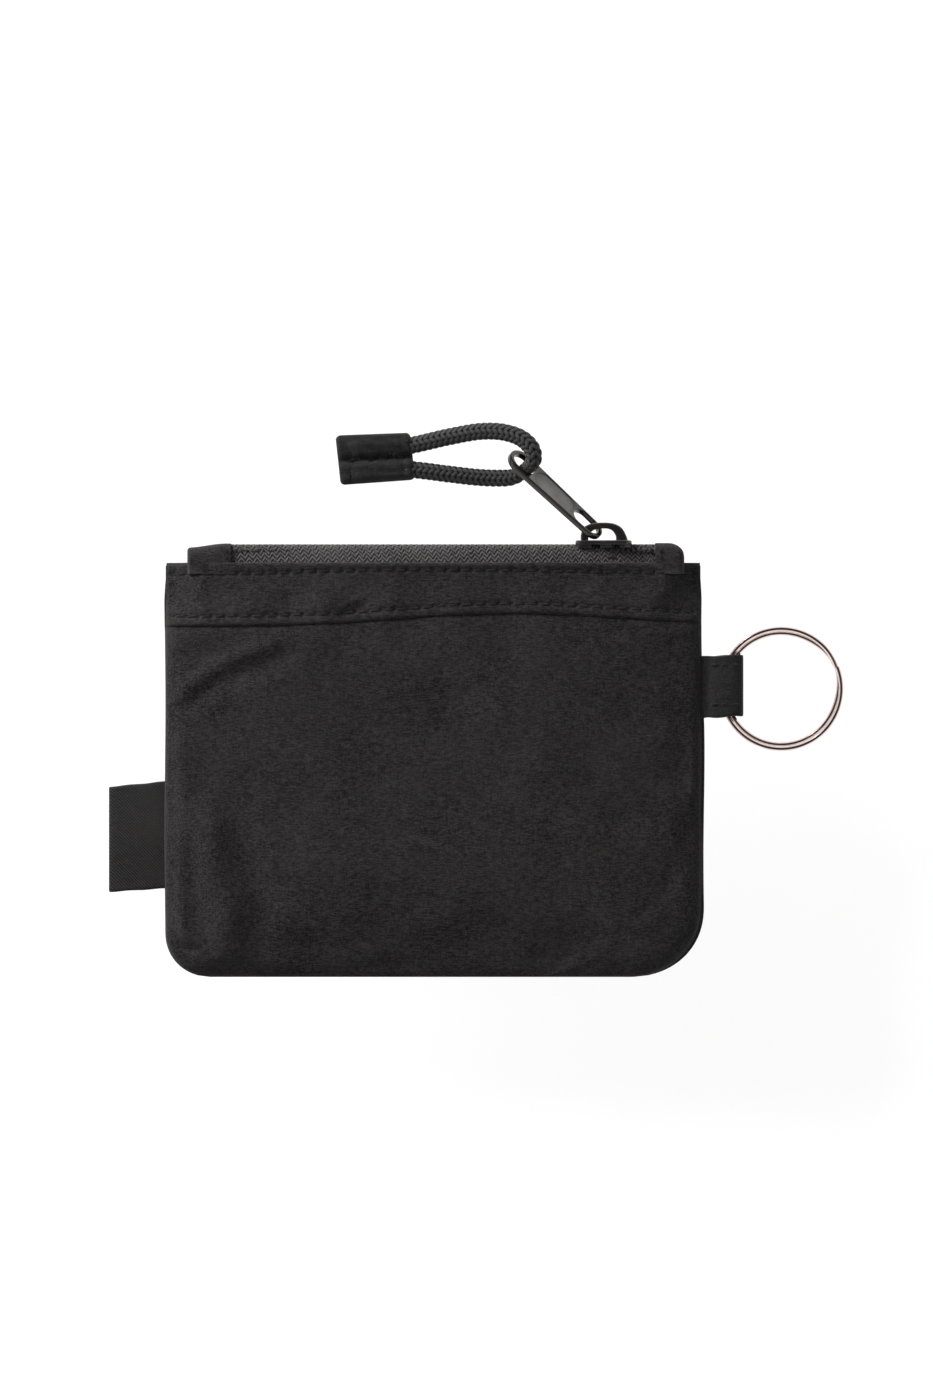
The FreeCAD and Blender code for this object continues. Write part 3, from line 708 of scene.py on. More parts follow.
def softened(field, times=2):
    """The field with each point drawn toward its four neighbours, the rim held."""
    for _ in range(times):
        inner = field.copy()
        inner[1:-1, 1:-1] = (field[:-2, 1:-1] + field[2:, 1:-1] + field[1:-1, :-2] + field[1:-1, 2:]) / 8
        inner[1:-1, 1:-1] += field[1:-1, 1:-1] / 2
        field = inner
    return field


def wrinkles(field, most):
    """Only the wrinkles of a depth change: its overall bulge is taken out, and their height is capped."""
    field = softened(field)
    return most * np.tanh(1.4 * (field - softened(field, 110)) / most)


class Skin:
    """Where the outer face of the cloth is, front or back, at any x and z."""

    def __init__(self):
        changes = puffed()
        self.change = {True: wrinkles(changes[0], 1.1), False: wrinkles(changes[1], 0.45)}
        x, z = unit_grid(*PUFF_GRID)
        self.rows_z = z[:, 0]
        self.columns_u = (x[30] - x[30][0]) / (x[30][-1] - x[30][0])

    def depth(self, x, z, front):
        """Y of the outer face, in millimetres."""
        x, z = np.broadcast_arrays(np.asarray(x, float), np.asarray(z, float))
        left, right = outline_x(z)
        u = np.clip((x - left) / np.maximum(right - left, 1e-6), 0, 1)
        rows, cols = PUFF_GRID
        col = np.interp(u, self.columns_u, np.arange(cols))
        row = np.interp(z, self.rows_z, np.arange(rows))
        c = np.clip(col.astype(int), 0, cols - 2)
        r = np.clip(row.astype(int), 0, rows - 2)
        fc, fr = col - c, row - r
        field = self.change[front]
        low = field[r, c] * (1 - fc) + field[r, c + 1] * fc
        high = field[r + 1, c] * (1 - fc) + field[r + 1, c + 1] * fc
        folds = sum(fold.at(x, z) for fold in (FOLDS if front else BACK_FOLDS))
        calm = smooth(edge_distance(x, z) / 2.5)
        return rest_depth(x, z, front) + low * (1 - fr) + high * fr + side_sign(front) * folds * calm


SKIN = Skin()
BAND_THICK = {True: 0.50, False: 0.34}


def hem_low(x, front):
    """Height of the hem band's lower fold, which bows up in the middle."""
    if not front:
        return BAND_LOW[2] + 1.0 - 0.8 * (x / HALF_WIDTH) ** 2
    return BAND_LOW[2] + 0.1 + 0.6 * smooth((x + 30) / 80) + 2.5 * np.exp(-((x - 15.0) / 33.0) ** 2)


def row_height(x, upper, front):
    """Height of a topstitch row on the hem band."""
    if upper:
        return TOP - 2.55 + 0.8 * smooth((x + 50) / 40) - 0.5 * smooth((x - 10) / 40)
    return hem_low(x, front) + 2.1


def seam_dimples(x, z, front):
    """The stitch rows pull the band in: a shallow groove with a pit at the end of each stitch."""
    total = 0
    for upper in (True, False):
        off = z - row_height(x, upper, front)
        beat = (0.5 + 0.5 * np.cos(2 * math.pi * x / STITCH_PITCH)) ** 3
        total = total + (0.12 + 0.34 * beat) * np.exp(-(off / 0.55) ** 2)
    return total


def side_name(front):
    """The word that a face's pieces have in their names."""
    return "front" if front else "back"


def body_panel(front):
    """One face's cloth from the seams up to the zip, as a closed thin sheet."""
    x, z = unit_grid(ROWS, COLUMNS)
    sign = side_sign(front)
    y = SKIN.depth(x, z, front) - sign * smooth((z - hem_low(x, front) + 0.6) / 0.5) * 0.22
    room = np.minimum(np.abs(y - SEAM_Y) * 0.8, CLOTH)
    outer = np.stack([x, y, z], -1)
    inner = np.stack([x, y - sign * np.maximum(room, 0.02), z], -1)
    return piece(f"{side_name(front)}_panel_cloth", *sheet(outer, inner, not front), BODY_CLOTH)


def hem_ring(x, front):
    """The hem band's section at x: up its face, over the fold, down inside and back up behind its face."""
    sign = side_sign(front)
    low = float(hem_low(x, front))
    top = TOP - 0.7 - 0.6 * float(smooth((abs(x) - 51) / 9))
    fade = float(smooth(edge_distance(np.array(x), np.array(TOP - 8.0)) / 1.2)) * 0.85 + 0.15
    bend = low + 0.7 * np.array([0.0, 0.03, 0.12, 0.3, 0.6, 1.0])
    up = np.concatenate([bend, np.linspace(low + 1.0, top, 48)[1:]])
    proud = BAND_THICK[front] * quarter_round((up - low) / 0.7) - seam_dimples(x, up, front)
    face = SKIN.depth(x, up, front) + sign * proud * fade
    inner_y = SKIN.depth(x, top, front) - sign * 0.55 * fade
    turn = np.linspace(0, math.pi, 9)[1:-1]
    fold_y = (face[-1] + inner_y) / 2 + (face[-1] - inner_y) / 2 * np.cos(turn)
    down = np.linspace(top, top - 6.3, 8)
    back_up = np.linspace(top - 6.3, low + 0.05, 8)[1:]
    y = np.concatenate([face, fold_y, SKIN.depth(x, down, front) - sign * 0.55 * fade,
                        SKIN.depth(x, back_up, front) - sign * 0.12 * fade])
    z = np.concatenate([up, top + 0.7 * np.sin(turn), down, back_up])
    return at_x(x, y, z)


def hem_band(front):
    """The folded strip round the mouth: rounded lower fold, over the top edge and back down inside."""
    left, right = outline_x(TOP - 5.0)
    along = left + (right - left) * np.linspace(0.001, 0.999, 420)
    verts, faces = skin([hem_ring(x, front) for x in along])
    if front:
        faces = [f[::-1] for f in faces]
    return piece(f"{side_name(front)}_hem_band", verts, faces, BODY_CLOTH)


def band_stitches(front, row):
    """One row of topstitching on the hem band."""
    upper = row == "upper"
    sign = side_sign(front)
    rng = np.random.default_rng(11 + 2 * front + upper)
    count = int(2 * (HALF_WIDTH - 1.0) / STITCH_PITCH)
    start = STITCH_PITCH * (0.13 - count // 2)
    parts = []
    for i in range(count):
        x0 = start + i * STITCH_PITCH + rng.uniform(-0.10, 0.10)
        ends = []
        for x in (x0, x0 + STITCH_PITCH * 0.74):
            z = float(row_height(np.array(x), upper, front)) + rng.uniform(-0.06, 0.06)
            ends.append((x, float(SKIN.depth(x, z, front)) + sign * (BAND_THICK[front] - 0.26), z))
        parts.append(capsule(*ends, 0.19, 0.22, sign))
    return piece(f"{side_name(front)}_band_{row}_topstitching", *merged(parts), THREAD_PAINTED_SHADE)


def lining(front):
    """Thin lining just inside one face, from the bottom seam to below the zip tape."""
    x, z = unit_grid(60, 72)
    z = BOTTOM + 1.2 + (z - BOTTOM) * (37.5 - BOTTOM - 1.2) / HEIGHT
    x = x * 0.978
    sign = side_sign(front)
    y = SKIN.depth(x, z, front)
    room = np.abs(y - SEAM_Y)
    ripple = 0.05 * np.sin(x * 0.9 + 0.4 * np.sin(z * 0.3)) * smooth(room / 2)
    y = y - sign * (np.minimum(CLOTH + 0.3, room * 0.85) + ripple)
    outer = np.stack([x, y, z], -1)
    inner = np.stack([x, y - sign * np.minimum(0.2, 0.06 + room * 0.05), z], -1)
    return piece(f"{side_name(front)}_lining", *sheet(outer, inner, not front), LINING_CLOTH)


# --- the zip

RIDGE_Z = TAPE_TOP + 0.45
COIL_PITCH = 1.25


def parting(x):
    """How far the two tapes stand apart: 0 on the closed side of the slider, 1 between it and the end tab."""
    return smooth((x - SLIDER_HIGH[0] + 1.0) / 3.0) * smooth((TAB_RIGHT[1][0] - x) / 4.0)


def tape_profile(x, front):
    """One tape's outer line in Y and Z: up behind the hem, over the hem's edge and in to the chain."""
    sign = side_sign(front)
    hem_y = float(SKIN.depth(x, TOP - 0.7, front)) - sign * 0.75
    ridge_y = ZIP_Y + sign * (0.10 + 0.25 * parting(x))
    wave = 0.08 * math.sin(x * 0.55 + (0 if front else 2)) + 0.05 * math.sin(x * 1.7)
    return spline([
        (hem_y, 38.5),
        (hem_y, 42.0),
        (hem_y, TOP - 0.2),
        (hem_y - sign * 0.15, TOP + 1.0),
        (hem_y - sign * 0.40, TOP + 2.2 + wave),
        (0.62 * hem_y + 0.38 * ridge_y, RIDGE_Z - 0.85 + wave),
        (0.30 * hem_y + 0.70 * ridge_y, RIDGE_Z - 0.22),
        (ridge_y + sign * 0.35, RIDGE_Z - 0.03),
        (ridge_y + sign * 0.04, RIDGE_Z - 0.02),
        (ridge_y, RIDGE_Z - 0.30),
    ], 34)


def zip_tape(front):
    """A woven tape whose inner edge is rolled over its coil, puckered by each turn of it."""
    outer, inner = [], []
    for x in np.linspace(TAB_LEFT[1][0] - 2.0, TAB_RIGHT[0][0] + 2.0, 420):
        line = tape_profile(x, front)
        normal = tangents(line)[:, ::-1] * (1, -1) * side_sign(front)
        pucker = math.cos(2 * math.pi * x / COIL_PITCH) * smooth((np.linspace(0, 1, len(line)) - 0.78) / 0.15)
        face = line + normal * 0.03 * pucker[:, None]
        back = line - normal * 0.32
        back[:, 1] = np.minimum(back[:, 1], RIDGE_Z - 0.35)
        outer.append(at_x(x, *face.T))
        inner.append(at_x(x, *back.T))
    return piece(f"zip_tape_{side_name(front)}", *sheet(np.array(outer), np.array(inner), front), TAPE_CLOTH)


def zip_coil(front):
    """A wound nylon coil: each turn's head meets the other side's at the middle of the chain."""
    sign = side_sign(front)
    x_start, x_end = TAB_LEFT[1][0] - 1.5, TAB_RIGHT[0][0] + 1.5
    turns = int((x_end - x_start) / COIL_PITCH)
    t = np.linspace(0, turns, turns * 12)
    x = x_start + (t + (0.5 if front else 0.0)) * COIL_PITCH
    y = ZIP_Y + sign * (0.62 + 0.35 * parting(x) - 0.95 * np.cos(2 * math.pi * t))
    z = RIDGE_Z - 1.40 + 0.42 * np.sin(2 * math.pi * t)
    wire = bar(np.stack([x, y, z], 1), oval(0.26, 0.26, 6))
    return piece(f"zip_coil_{side_name(front)}", *wire, COIL_NYLON)


def end_tab(side):
    """Body cloth folded over one end of the zip."""
    low, high = TAB_LEFT if side == "left" else TAB_RIGHT
    turn = np.linspace(0, math.pi, 19)
    rings = []
    for u in np.linspace(0, 1, 34):
        if side == "left":
            end = quarter_round(u / 0.07)
            top = high[2] - 1.4 + 0.9 * smooth(u / 0.9) + end * 0.5
        else:
            end = quarter_round((1 - u) / 0.22)
            top = high[2] - 2.9 + quarter_round((1 - u) / 0.55) * 3.0
        half = (high[1] - low[1]) / 2 * (0.35 + 0.65 * end) - 0.45
        arch_z = (top - TOP + 0.8) * np.sin(turn) ** 0.62 + 0.048 * math.sin(u * 9.0) * np.sin(turn * 2) ** 2
        ring_y = ZIP_Y + np.concatenate([[half * 0.98], half * np.cos(turn), [-half * 0.98]])
        ring_z = np.concatenate([[TOP - 2.5], TOP - 0.8 + arch_z, [TOP - 2.5]])
        rings.append(at_x(low[0] + (high[0] - low[0]) * u, ring_y, ring_z))
    return piece(f"zip_end_tab_{side}", *skin(rings), BODY_CLOTH, 50)


def end_tab_stitches():
    """A short bar of stitches that closes each end tab."""
    half = (TAB_LEFT[1][1] - TAB_LEFT[0][1]) / 2
    parts = []
    for x in (TAB_LEFT[1][0] - 1.1, TAB_RIGHT[0][0] + 1.0):
        for sign in (-1, 1):
            for k in range(2):
                z = TOP + 0.6 + k * 1.5
                y = ZIP_Y + sign * (half - 0.15 - 0.32 * k)
                parts.append(capsule((x, y, z), (x + 0.15, y - sign * 0.22, z + 1.1), 0.15, 0.06, sign))
    return piece("zip_end_tab_stitches", *merged(parts), THREAD_PAINTED_SHADE)


# --- the slider and its pull

# half of the slider's plan, and the line its side walls follow: shares of its length and half width
PLAN = [(-0.50, 0.20), (-0.49, 0.46), (-0.42, 0.66), (-0.15, 0.74), (0.12, 0.92), (0.34, 1.0), (0.46, 0.80),
        (0.50, 0.30)]
WALL_EDGE = ((-0.5, -0.42, -0.15, 0.12, 0.34, 0.5), (0.50, 0.66, 0.74, 0.90, 0.96, 0.66))


def slider():
    """Upper and lower plates with turned-down side walls that are open in the middle."""
    length = SLIDER_HIGH[0] - SLIDER_LOW[0]
    half = (SLIDER_HIGH[1] - SLIDER_LOW[1]) / 2
    middle = (SLIDER_HIGH[0] + SLIDER_LOW[0]) / 2
    ring = PLAN + [(x, -y) for x, y in PLAN[::-1]] + PLAN[:1]
    pieces = []
    for name, z, thickness, scale in (("slider_upper_plate", SLIDER_HIGH[2] - 0.5, 1.0, 1.0),
                                      ("slider_lower_plate", SLIDER_LOW[2] + 0.4, 0.8, 0.55)):
        outline = spline([(x * length * scale, y * half * scale) for x, y in ring], 72)[:-1]
        plate = flat_plate(name, outline, [], thickness, 0.28, BLACK_METAL)
        plate.data.transform(Matrix.Translation(Vector((middle, ZIP_Y, z)) * MM))
        pieces.append(plate)
    walls = []
    for side in (-1, 1):
        for start, end, drop in ((-0.46, -0.22, 1.35), (-0.06, 0.14, 1.3), (0.28, 0.46, 1.3)):
            along = np.linspace(start, end, 6)
            edge = half * np.interp(along, *WALL_EDGE)
            path = np.stack([along * length + middle, ZIP_Y + side * (edge - 0.35),
                             np.full(6, SLIDER_HIGH[2] - 0.35 - drop / 2)], 1)
            walls.append(bar(path, rounded_box(0.32, drop / 2, 0.22, 3)))
    neck = np.linspace((middle + length * 0.40, ZIP_Y, SLIDER_LOW[2] + 0.3),
                       (middle + length * 0.40, ZIP_Y, SLIDER_HIGH[2] - 0.3), 4)
    walls.append(bar(neck, oval(0.75, 0.6, 14)))
    pieces.append(piece("slider_side_walls", *merged(walls), BLACK_METAL, 40))
    return pieces


def crown():
    """The D-shaped bail on the slider, thick where it comes down at the nose."""
    low_x, high_x = CROWN_LOW[0] - 0.45, CROWN_HIGH[0] - 0.4
    foot, top = SLIDER_HIGH[2] - 0.25, CROWN_HIGH[2]
    outer = [(low_x, foot), (low_x - 0.05, foot + 1.4), (low_x + 0.6, top - 1.1), (low_x + 2.1, top - 0.3),
             (low_x + 4.6, top), (low_x + 7.4, top - 0.25), (high_x - 1.5, top - 1.15),
             (high_x - 0.5, foot + 1.5), (high_x, foot)]
    inner = [(high_x - 2.7, foot), (high_x - 2.9, foot + 1.5), (high_x - 3.9, top - 1.6),
             (low_x + 4.9, top - 1.35), (low_x + 3.1, top - 1.6), (low_x + 1.9, foot + 1.7),
             (low_x + 1.6, foot)]
    outline = np.vstack([spline(outer, 46), spline(inner, 40)])
    bail = flat_plate("slider_bail", outline, [], 1.5, 0.40, BLACK_METAL)
    bail.data.transform(Matrix(((1, 0, 0, 0), (0, 0, -1, ZIP_Y * MM), (0, 1, 0, 0), (0, 0, 0, 1))))
    return bail


def pull_matrix():
    """From the pull's own axes (along, across, out of its face) to its place on the bail."""
    along = Vector((math.cos(PULL_LEAN), 0, math.sin(PULL_LEAN)))
    square = Vector((math.sin(PULL_LEAN), 0, -math.cos(PULL_LEAN)))
    across = Vector((0, math.cos(PULL_TWIST), 0)) + square * math.sin(PULL_TWIST)
    face = along.cross(across)
    matrix = Matrix((along, across, face)).transposed().to_4x4()
    matrix.translation = Vector(PULL_PIVOT) * MM
    return matrix


FOOT_AT, FOOT_R = 2.0, 2.70
EYE_AT, EYE_R = 23.2, 3.40
EYE_HOLE = ((21.9, 23.3), (2.2, 2.2))
SLOT_HOLE = ((2.3, 5.1), (2.05, 2.20))
FACE_OPENING = ((10.4, 16.6), (2.38, 2.58))
FACE_PLATE = ((10.3, 16.7), (2.56, 2.78))


def pull():
    """The metal pull: a rimmed frame, with a satin face sunk between its rails."""
    outline = stadium((FOOT_AT, EYE_AT), (FOOT_R, EYE_R), 30)
    holes = [stadium(*SLOT_HOLE, 16)[::-1], stadium(*EYE_HOLE, 20)[::-1], stadium(*FACE_OPENING, 16)[::-1]]
    rim = flat_plate("pull_rim", outline, holes, 1.35, 0.24, PULL_BLACK)
    web = flat_plate("pull_face", stadium(*FACE_PLATE, 16), [], 0.95, 0.05, PULL_SATIN)
    for made in (rim, web):
        made.data.transform(pull_matrix())
    return rim, web


# --- the cord and its cover

CORD_PITCH = 13.0
STRAND_AT, STRAND_LIFT = 1.50, 0.20
STRAND = oval(0.49, 0.31, 8)


def cord_line():
    """Centre line of the cord: out of the cover, round through the eye and back in."""
    mouth = COVER_HIGH[0]
    eye = np.array(PULL_PIVOT) + np.array((-0.731, 0.0, 0.682)) * 21.9
    return spline([
        (mouth - 6, ZIP_Y, 71.6), (mouth - 0.5, ZIP_Y, 72.5), (3.9, -4.4, 74.4), (10.8, -5.1, 75.5),
        (16, -5.9, 75.2), (19.9, -6.5, 73.7), (22, -6.7, 71.4), (22.4, -6.2, 69.3),
        eye + (1.05, -1.1, 0.6), eye + (-0.9, 0.9, -1.1),
        (17.6, -2.2, 65.4), (13.6, -2, 65.2), (9.5, -2.3, 65.4), (3.9, -3, 66),
        (mouth - 0.5, ZIP_Y, 67), (mouth - 6, ZIP_Y, 67.2),
    ], 260)


def strand(path, n, b, turn, over, squeeze):
    """One flat strand wound round the cord's centre line, lifted where it passes over the others."""
    out = n * np.cos(turn)[:, None] + b * np.sin(turn)[:, None]
    line = path + out * ((STRAND_AT + STRAND_LIFT * over) * squeeze)[:, None]
    tangent = tangents(line)
    across = unit(np.cross(tangent, out))
    return swept(line, STRAND, across, -np.cross(across, tangent))


def cord():
    """Twenty flat strands, ten each way round, woven over two and under two."""
    path = cord_line()
    n, b = carried(path)
    length = np.concatenate([[0], np.cumsum(np.linalg.norm(np.diff(path, axis=0), axis=1))])
    in_eye = length[np.argmax(path[:, 0])] + 4.0
    squeeze = 1 - 0.22 * np.exp(-((length - in_eye) / 3.4) ** 2)
    # crest: 1 on the outer side of each strand's section, 0 on its sides; together with how far a strand
    # passes over, it is the mask of the cord's painted shade and highlight
    crest = np.clip(-STRAND[:, 1] / STRAND[:, 1].max(), 0, 1)
    parts, heights = [], []
    for way in (-1, 1):
        for k in range(10):
            turn = way * 2 * math.pi * length / CORD_PITCH + 2 * math.pi * k / 10
            over = way * np.cos(5 * turn)
            parts.append(strand(path, n, b, turn, over, squeeze))
            heights.append(np.outer(smooth((over + 0.5) / 1.3), crest).ravel())
    parts.append(bar(path, oval(1.12, 1.12, 14)))
    heights.append(np.zeros(len(parts[-1][0])))
    made = piece("pull_cord_braid", *merged(parts), CORD)
    shade = made.data.attributes.new("crest", "FLOAT", "POINT")
    shade.data.foreach_set("value", np.concatenate(heights).astype(np.float32))
    return made


COVER_STITCH_X = (COVER_LOW[0] + 2.9, COVER_HIGH[0] - 2.7)


def cover():
    """Cloth sewn flat round the cord's two ends: two soft lobes with a pinched seam between."""
    low, high = COVER_LOW, COVER_HIGH
    length = high[0] - low[0] - 0.8
    corner = 1.1
    turn = np.linspace(0, 2 * math.pi, 72, endpoint=False)
    rings = []
    for u in 0.5 - 0.5 * np.cos(np.pi * np.linspace(0.02, 0.98, 70)):
        x = low[0] + 0.3 + length * u
        inset = corner * (1 - quarter_round(min(u, 1 - u) * length / corner))
        half_z = (high[2] - low[2]) / 2 - 0.30 * u - 0.05 - inset
        full = (0.62 + 0.38 * smooth(u / 0.4)) * math.sqrt(max(1 - inset / corner, 0.02))
        z = half_z * np.sign(np.cos(turn)) * np.abs(np.cos(turn)) ** 0.85
        shape = np.clip(1 - (np.abs(np.abs(z / half_z) - 0.50) / 0.52) ** 2.6, 0.0, 1) ** 0.5
        seam = z - 0.22 * math.sin(x * 1.9) - 0.1 * math.sin(x * 5.0)
        swell = 2.25 * full * (0.10 + 0.90 * shape) * (1 - 0.80 * np.exp(-(seam / 0.55) ** 2))
        crease = 0.12 * np.sin(z * 2.6 + 0.5 * math.sin(x * 0.5)) + 0.08 * np.sin(x * 1.3 + z * 2.1)
        gather = sum(0.20 * math.exp(-((x - at) / 0.6) ** 2) for at in COVER_STITCH_X)
        y = np.sign(np.round(np.sin(turn), 6)) * (swell + (crease - gather) * full * shape)
        middle_z = (low[2] + high[2]) / 2 - 0.2 + 0.9 * u
        rings.append(np.column_stack([x - 0.5 * z / half_z, ZIP_Y + y, middle_z + z]))
    return piece("cord_end_cover_cloth", *skin(rings), COVER_CLOTH)


def cover_stitches():
    """A row along the pinched seam and a short bar across near each end, on both faces."""
    rng = np.random.default_rng(5)
    half_way = COVER_LOW[0] + 8

    def seam_z(x):
        return (COVER_LOW[2] + COVER_HIGH[2]) / 2 + 0.055 * (x - half_way)

    parts = []
    for sign in (-1, 1):
        for i in range(6):
            x = COVER_LOW[0] + 2.4 + i * 2.25
            jump = 0.35 if i % 2 else -0.35
            y = ZIP_Y + sign * 0.85
            parts.append(capsule((x, y, seam_z(x) + jump), (x + 1.7, y, seam_z(x) - jump), 0.17, 0.10, sign))
        for x in COVER_STITCH_X:
            for k in (-2, -1, 1, 2):
                z = seam_z(x) + 1.75 * k
                y = ZIP_Y + sign * (1.72 if x > half_way else 1.48)
                tilt = rng.uniform(-0.25, 0.25)
                parts.append(capsule((x - tilt, y, z - 0.6), (x + tilt, y, z + 0.6), 0.15, 0.06, sign))
    return piece("cord_cover_topstitching", *merged(parts), THREAD_PAINTED_SHADE)


# --- key loop, ring and label

# points round the section of the loop's strap and of the label's tape
STRAP_POINTS = 66
LABEL_POINTS = 108


def folded(half, tip, y, count):
    """A path out along one side of a fold and back along the other: (x, distance from the line at y)."""
    out = [(x, y - d) for x, d in half]
    back = [(x, y + d) for x, d in half[::-1]]
    return spline(out + [(x, y) for x in tip] + back, count)


def ribbon(path, low_z, high_z, thickness, count):
    """A flat strap on edge: a path seen from above, with its lower and upper edge at each point."""
    rings = []
    for p, s, low, high in zip(path, tangents(path)[:, ::-1] * (-1, 1), low_z, high_z):
        edge = rounded_box((high - low) / 2, thickness / 2, thickness * 0.42, 3)
        edge = resample(np.vstack([edge, edge[:1]]), count + 1)[:-1]
        rings.append(np.column_stack([p + np.outer(edge[:, 1], s), (low + high) / 2 + edge[:, 0]]))
    return skin(rings)


def key_loop():
    """A strap folded round the ring, its two ends sewn into the side seam."""
    low, high = LOOP_LOW, LOOP_HIGH
    half = [(HALF_WIDTH - 0.6, 0.35), (low[0] + 0.5, 0.6), (low[0] + 1.7, 1.45), (low[0] + 3.2, 1.85),
            (high[0] - 2.2, 1.95), (high[0] - 0.75, 1.3)]
    path = folded(half, [high[0] - 0.40], RING_CENTRE[1], 110)
    t = (path[:, 0] - low[0]) / (high[0] - low[0])
    low_z = low[2] + 0.05 + 0.5 * t + 0.12 * np.sin(np.arange(len(path)) * 0.21)
    high_z = high[2] - 0.1 + 0.35 * t + 0.10 * np.sin(np.arange(len(path)) * 0.17 + 1)
    return piece("key_loop_strap", *ribbon(path, low_z, high_z, 0.72, STRAP_POINTS), STRAP_CLOTH)


def key_loop_stitches():
    """Two rows across each face of the loop."""
    def on_strap(x, z, sign):
        return x, RING_CENTRE[1] + sign * (1.30 + 0.95 * float(smooth((x - LOOP_LOW[0]) / 2.6))), z

    parts = []
    for sign in (-1, 1):
        for z in (LOOP_LOW[2] + 3.1, LOOP_HIGH[2] - 2.1):
            for i in range(3):
                x = LOOP_LOW[0] + 0.9 + i * 2.4
                ends = on_strap(x, z, sign), on_strap(x + 1.6, z + 0.05, sign)
                parts.append(capsule(*ends, 0.26, 0.05, sign))
    return piece("key_loop_topstitching", *merged(parts), THREAD_PAINTED_SHADE)


def split_ring():
    """Two close turns of round-edged wire that cross over once, with plain cut ends."""
    once = 2 * math.pi
    turn = np.linspace(0, 2 * once - 0.03, 460)
    cross = smooth((turn - once + 0.35) / 0.7)
    from_end = np.minimum(turn % once, once - turn % once)
    gap = 0.95 - 0.70 * np.exp(-(from_end / 0.5) ** 2)
    angle = turn + math.radians(23)
    radial = np.stack([np.cos(angle), np.zeros_like(angle), np.sin(angle)], 1)
    path = RING_CENTRE + radial * (13.40 - gap * (1 - cross))[:, None]
    path[:, 1] += 0.50 - cross
    wire = swept(path, rounded_box(0.54, 0.54, 0.50, 5), radial, (0, 1, 0))
    return piece("split_ring_wire", *wire, NICKEL, 50)


def side_label():
    """A blank folded tape sewn into the left seam, its outer end a fold."""
    out, root = LABEL_LOW[0], -HALF_WIDTH + 0.7
    half = [(root, 0.22), (-62.5, 0.30), (-67.0, 0.36), (out + 0.9, 0.34), (out + 0.25, 0.16)]
    path = folded(half, [], (LABEL_LOW[1] + LABEL_HIGH[1]) / 2, 90)
    t = (root - path[:, 0]) / (root - out)
    wave = 0.06 * np.sin(path[:, 0] * 0.9)
    tape = ribbon(path, -26.5 - 0.85 * t + wave, -2.5 - 1.3 * t + wave, 0.42, LABEL_POINTS)
    return piece("side_label_tape", *tape, LABEL_CLOTH)


# --- placing

def standing_for(replaced):
    """Hides the CAD node that a piece takes the place of, if any."""
    if replaced:
        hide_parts(replaced)


def opened(obj, replaced):
    """Cloth of the front half: bakes its place into its points, reads them, and hides the CAD node that it
    takes the place of.
    """
    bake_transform(obj)
    co = np.empty(len(obj.data.vertices) * 3)
    obj.data.vertices.foreach_get("co", co)
    standing_for(replaced)


def riding(obj, body, replaced):
    """A rigid piece, or cloth of the back half, that rides whole on one body."""
    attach(obj, body)
    standing_for(replaced)


def seam_blend(obj, replaced):
    """Cloth sewn into a side seam: bakes its place into its points and hides the CAD node that it takes the
    place of.
    """
    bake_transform(obj)
    standing_for(replaced)


def build_half(front):
    """Every piece of cloth and zip that the front and the back both have."""
    side = side_name(front)
    for obj, replaced, slot in (
        (body_panel(front), f"{side}_panel", "body_fabric"),
        (hem_band(front), f"{side}_band", "body_fabric"),
        (band_stitches(front, "upper"), f"{side}_band_upper_stitches", "thread"),
        (band_stitches(front, "lower"), f"{side}_band_lower_stitches", "thread"),
        (lining(front), f"lining_{side}", "lining_fabric"),
        (zip_tape(front), f"zipper_tape_{side}", "zipper_tape"),
        (zip_coil(front), f"zipper_coil_{side}", "zipper_coil"),
    ):
        if front:
            opened(obj, replaced)
        else:
            riding(obj, "pouch_back", replaced)


def build_metal_and_cord():
    """The slider with all that hangs on it, and the end tabs it runs between."""
    for side in ("left", "right"):
        riding(end_tab(side), "pouch_back", f"zipper_end_tab_{side}")
    riding(end_tab_stitches(), "pouch_back", None)
    for made in slider():
        riding(made, "slider", "slider_body")
    riding(crown(), "slider", "slider_crown")
    for made in pull():
        riding(made, "pull", "pull_tab")
    riding(cord(), "cord", "pull_cord")
    riding(cover(), "cord", "cord_end_cover")
    riding(cover_stitches(), "cord", "cord_cover_stitches")
    for slot in frame["nodes"]["slider_lock_spring"].material_slots:
        slot.material = STEEL


def build_sides():
    """What the two side seams hold."""
    seam_blend(key_loop(), "key_loop")
    seam_blend(key_loop_stitches(), "key_loop_stitches")
    riding(split_ring(), "ring", "split_ring")
    seam_blend(side_label(), "side_label")


# --- stage, light and camera

VIEW_X, VIEW_Z = 7.4, 15.6
VIEW_HEIGHT = 312.9
VIEW_DISTANCE = 1200.0


def build_stage():
    """A pale wall far enough back for everything that swings behind the pouch, and a pale floor."""
    far, wall_y, floor_z = 4000.0, 32.0, BOTTOM - 1.0
    square = [(-far, -far), (far, -far), (far, far), (-far, far)]
    for name, corners in (("pale_backdrop", [(a, wall_y, b) for a, b in square]),
                          ("pale_floor", [(a, b, floor_z) for a, b in square])):
        piece(name, corners, [(0, 1, 2, 3)], fading(name))


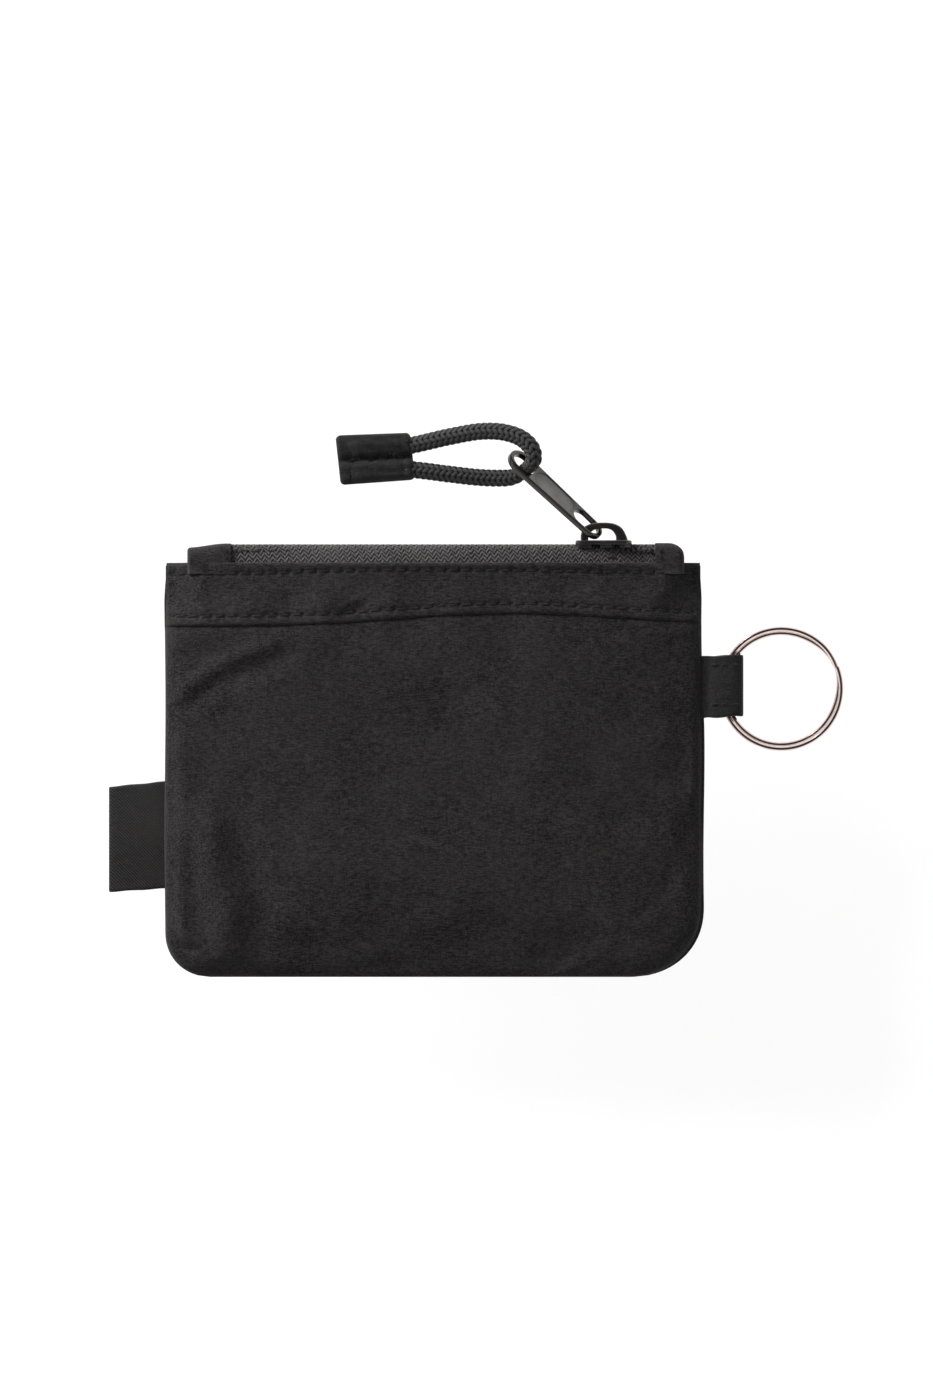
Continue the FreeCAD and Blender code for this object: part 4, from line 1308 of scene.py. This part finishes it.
def area_light(name, place_mm, size, power, mirrored=False, aim_mm=(0, 0, 0)):
    """A square light; only a mirrored one shows in glossy surfaces."""
    data = bpy.data.lights.new(name, "AREA")
    data.size = size
    data.energy = power
    light = bpy.data.objects.new(name, data)
    light.location = Vector(place_mm) * MM
    light.rotation_euler = (Vector(aim_mm) - Vector(place_mm)).to_track_quat("-Z", "Y").to_euler()
    light.visible_glossy = mirrored
    bpy.context.scene.collection.objects.link(light)


def build_light():
    """A soft pale room, darker toward the camera, and four square lights."""
    world = bpy.data.worlds.new("studio")
    bpy.context.scene.world = world
    world.use_nodes = True
    tree = world.node_tree
    split = node(tree, "SeparateXYZ", {0: node(tree, "TexCoord").outputs["Generated"]})
    toward_camera = scaled(split.outputs["Y"], -1.0)
    dark = spread(toward_camera, 0.25, 0.88)
    path = node(tree, "LightPath").outputs
    sky = blended(dark, (1.0, 0.985, 0.985, 1), (0.055, 0.05, 0.05, 1))
    mirrored = blended(dark, (1.75, 1.64, 1.61, 1), (0.07, 0.055, 0.05, 1))
    sky = blended(path["Is Glossy Ray"], sky, mirrored)
    sky = blended(path["Is Camera Ray"], sky, (1.55, 1.55, 1.55, 1))
    tree.links.new(sky, tree.nodes["Background"].inputs[0])
    tree.nodes["Background"].inputs[1].default_value = 0.6
    area_light("key", (-640, -300, 560), 0.45, 24.0)
    area_light("fill", (500, -900, -200), 0.8, 4.0, aim_mm=(0, 0, 10))
    area_light("back", (-300, 900, 500), 0.9, 8.0)
    area_light("glint", (-350, -700, 700), 0.16, 0.35, True, (30, 0, 50))


def build_camera():
    """A long lens, square on to the front."""
    data = bpy.data.cameras.new("camera")
    data.sensor_width = 36
    data.lens = 36 * (VIEW_DISTANCE + SEAM_Y) / VIEW_HEIGHT
    data.clip_start = 0.05
    data.clip_end = 20
    camera = bpy.data.objects.new("camera", data)
    camera.location = (VIEW_X * MM, -VIEW_DISTANCE * MM, VIEW_Z * MM)
    camera.rotation_euler = (math.radians(90), 0, 0)
    bpy.context.scene.collection.objects.link(camera)
    bpy.context.scene.camera = camera
    bpy.context.scene.view_settings.view_transform = "Standard"


build_half(True)
build_half(False)
build_metal_and_cord()
build_sides()
build_stage()
build_light()
build_camera()
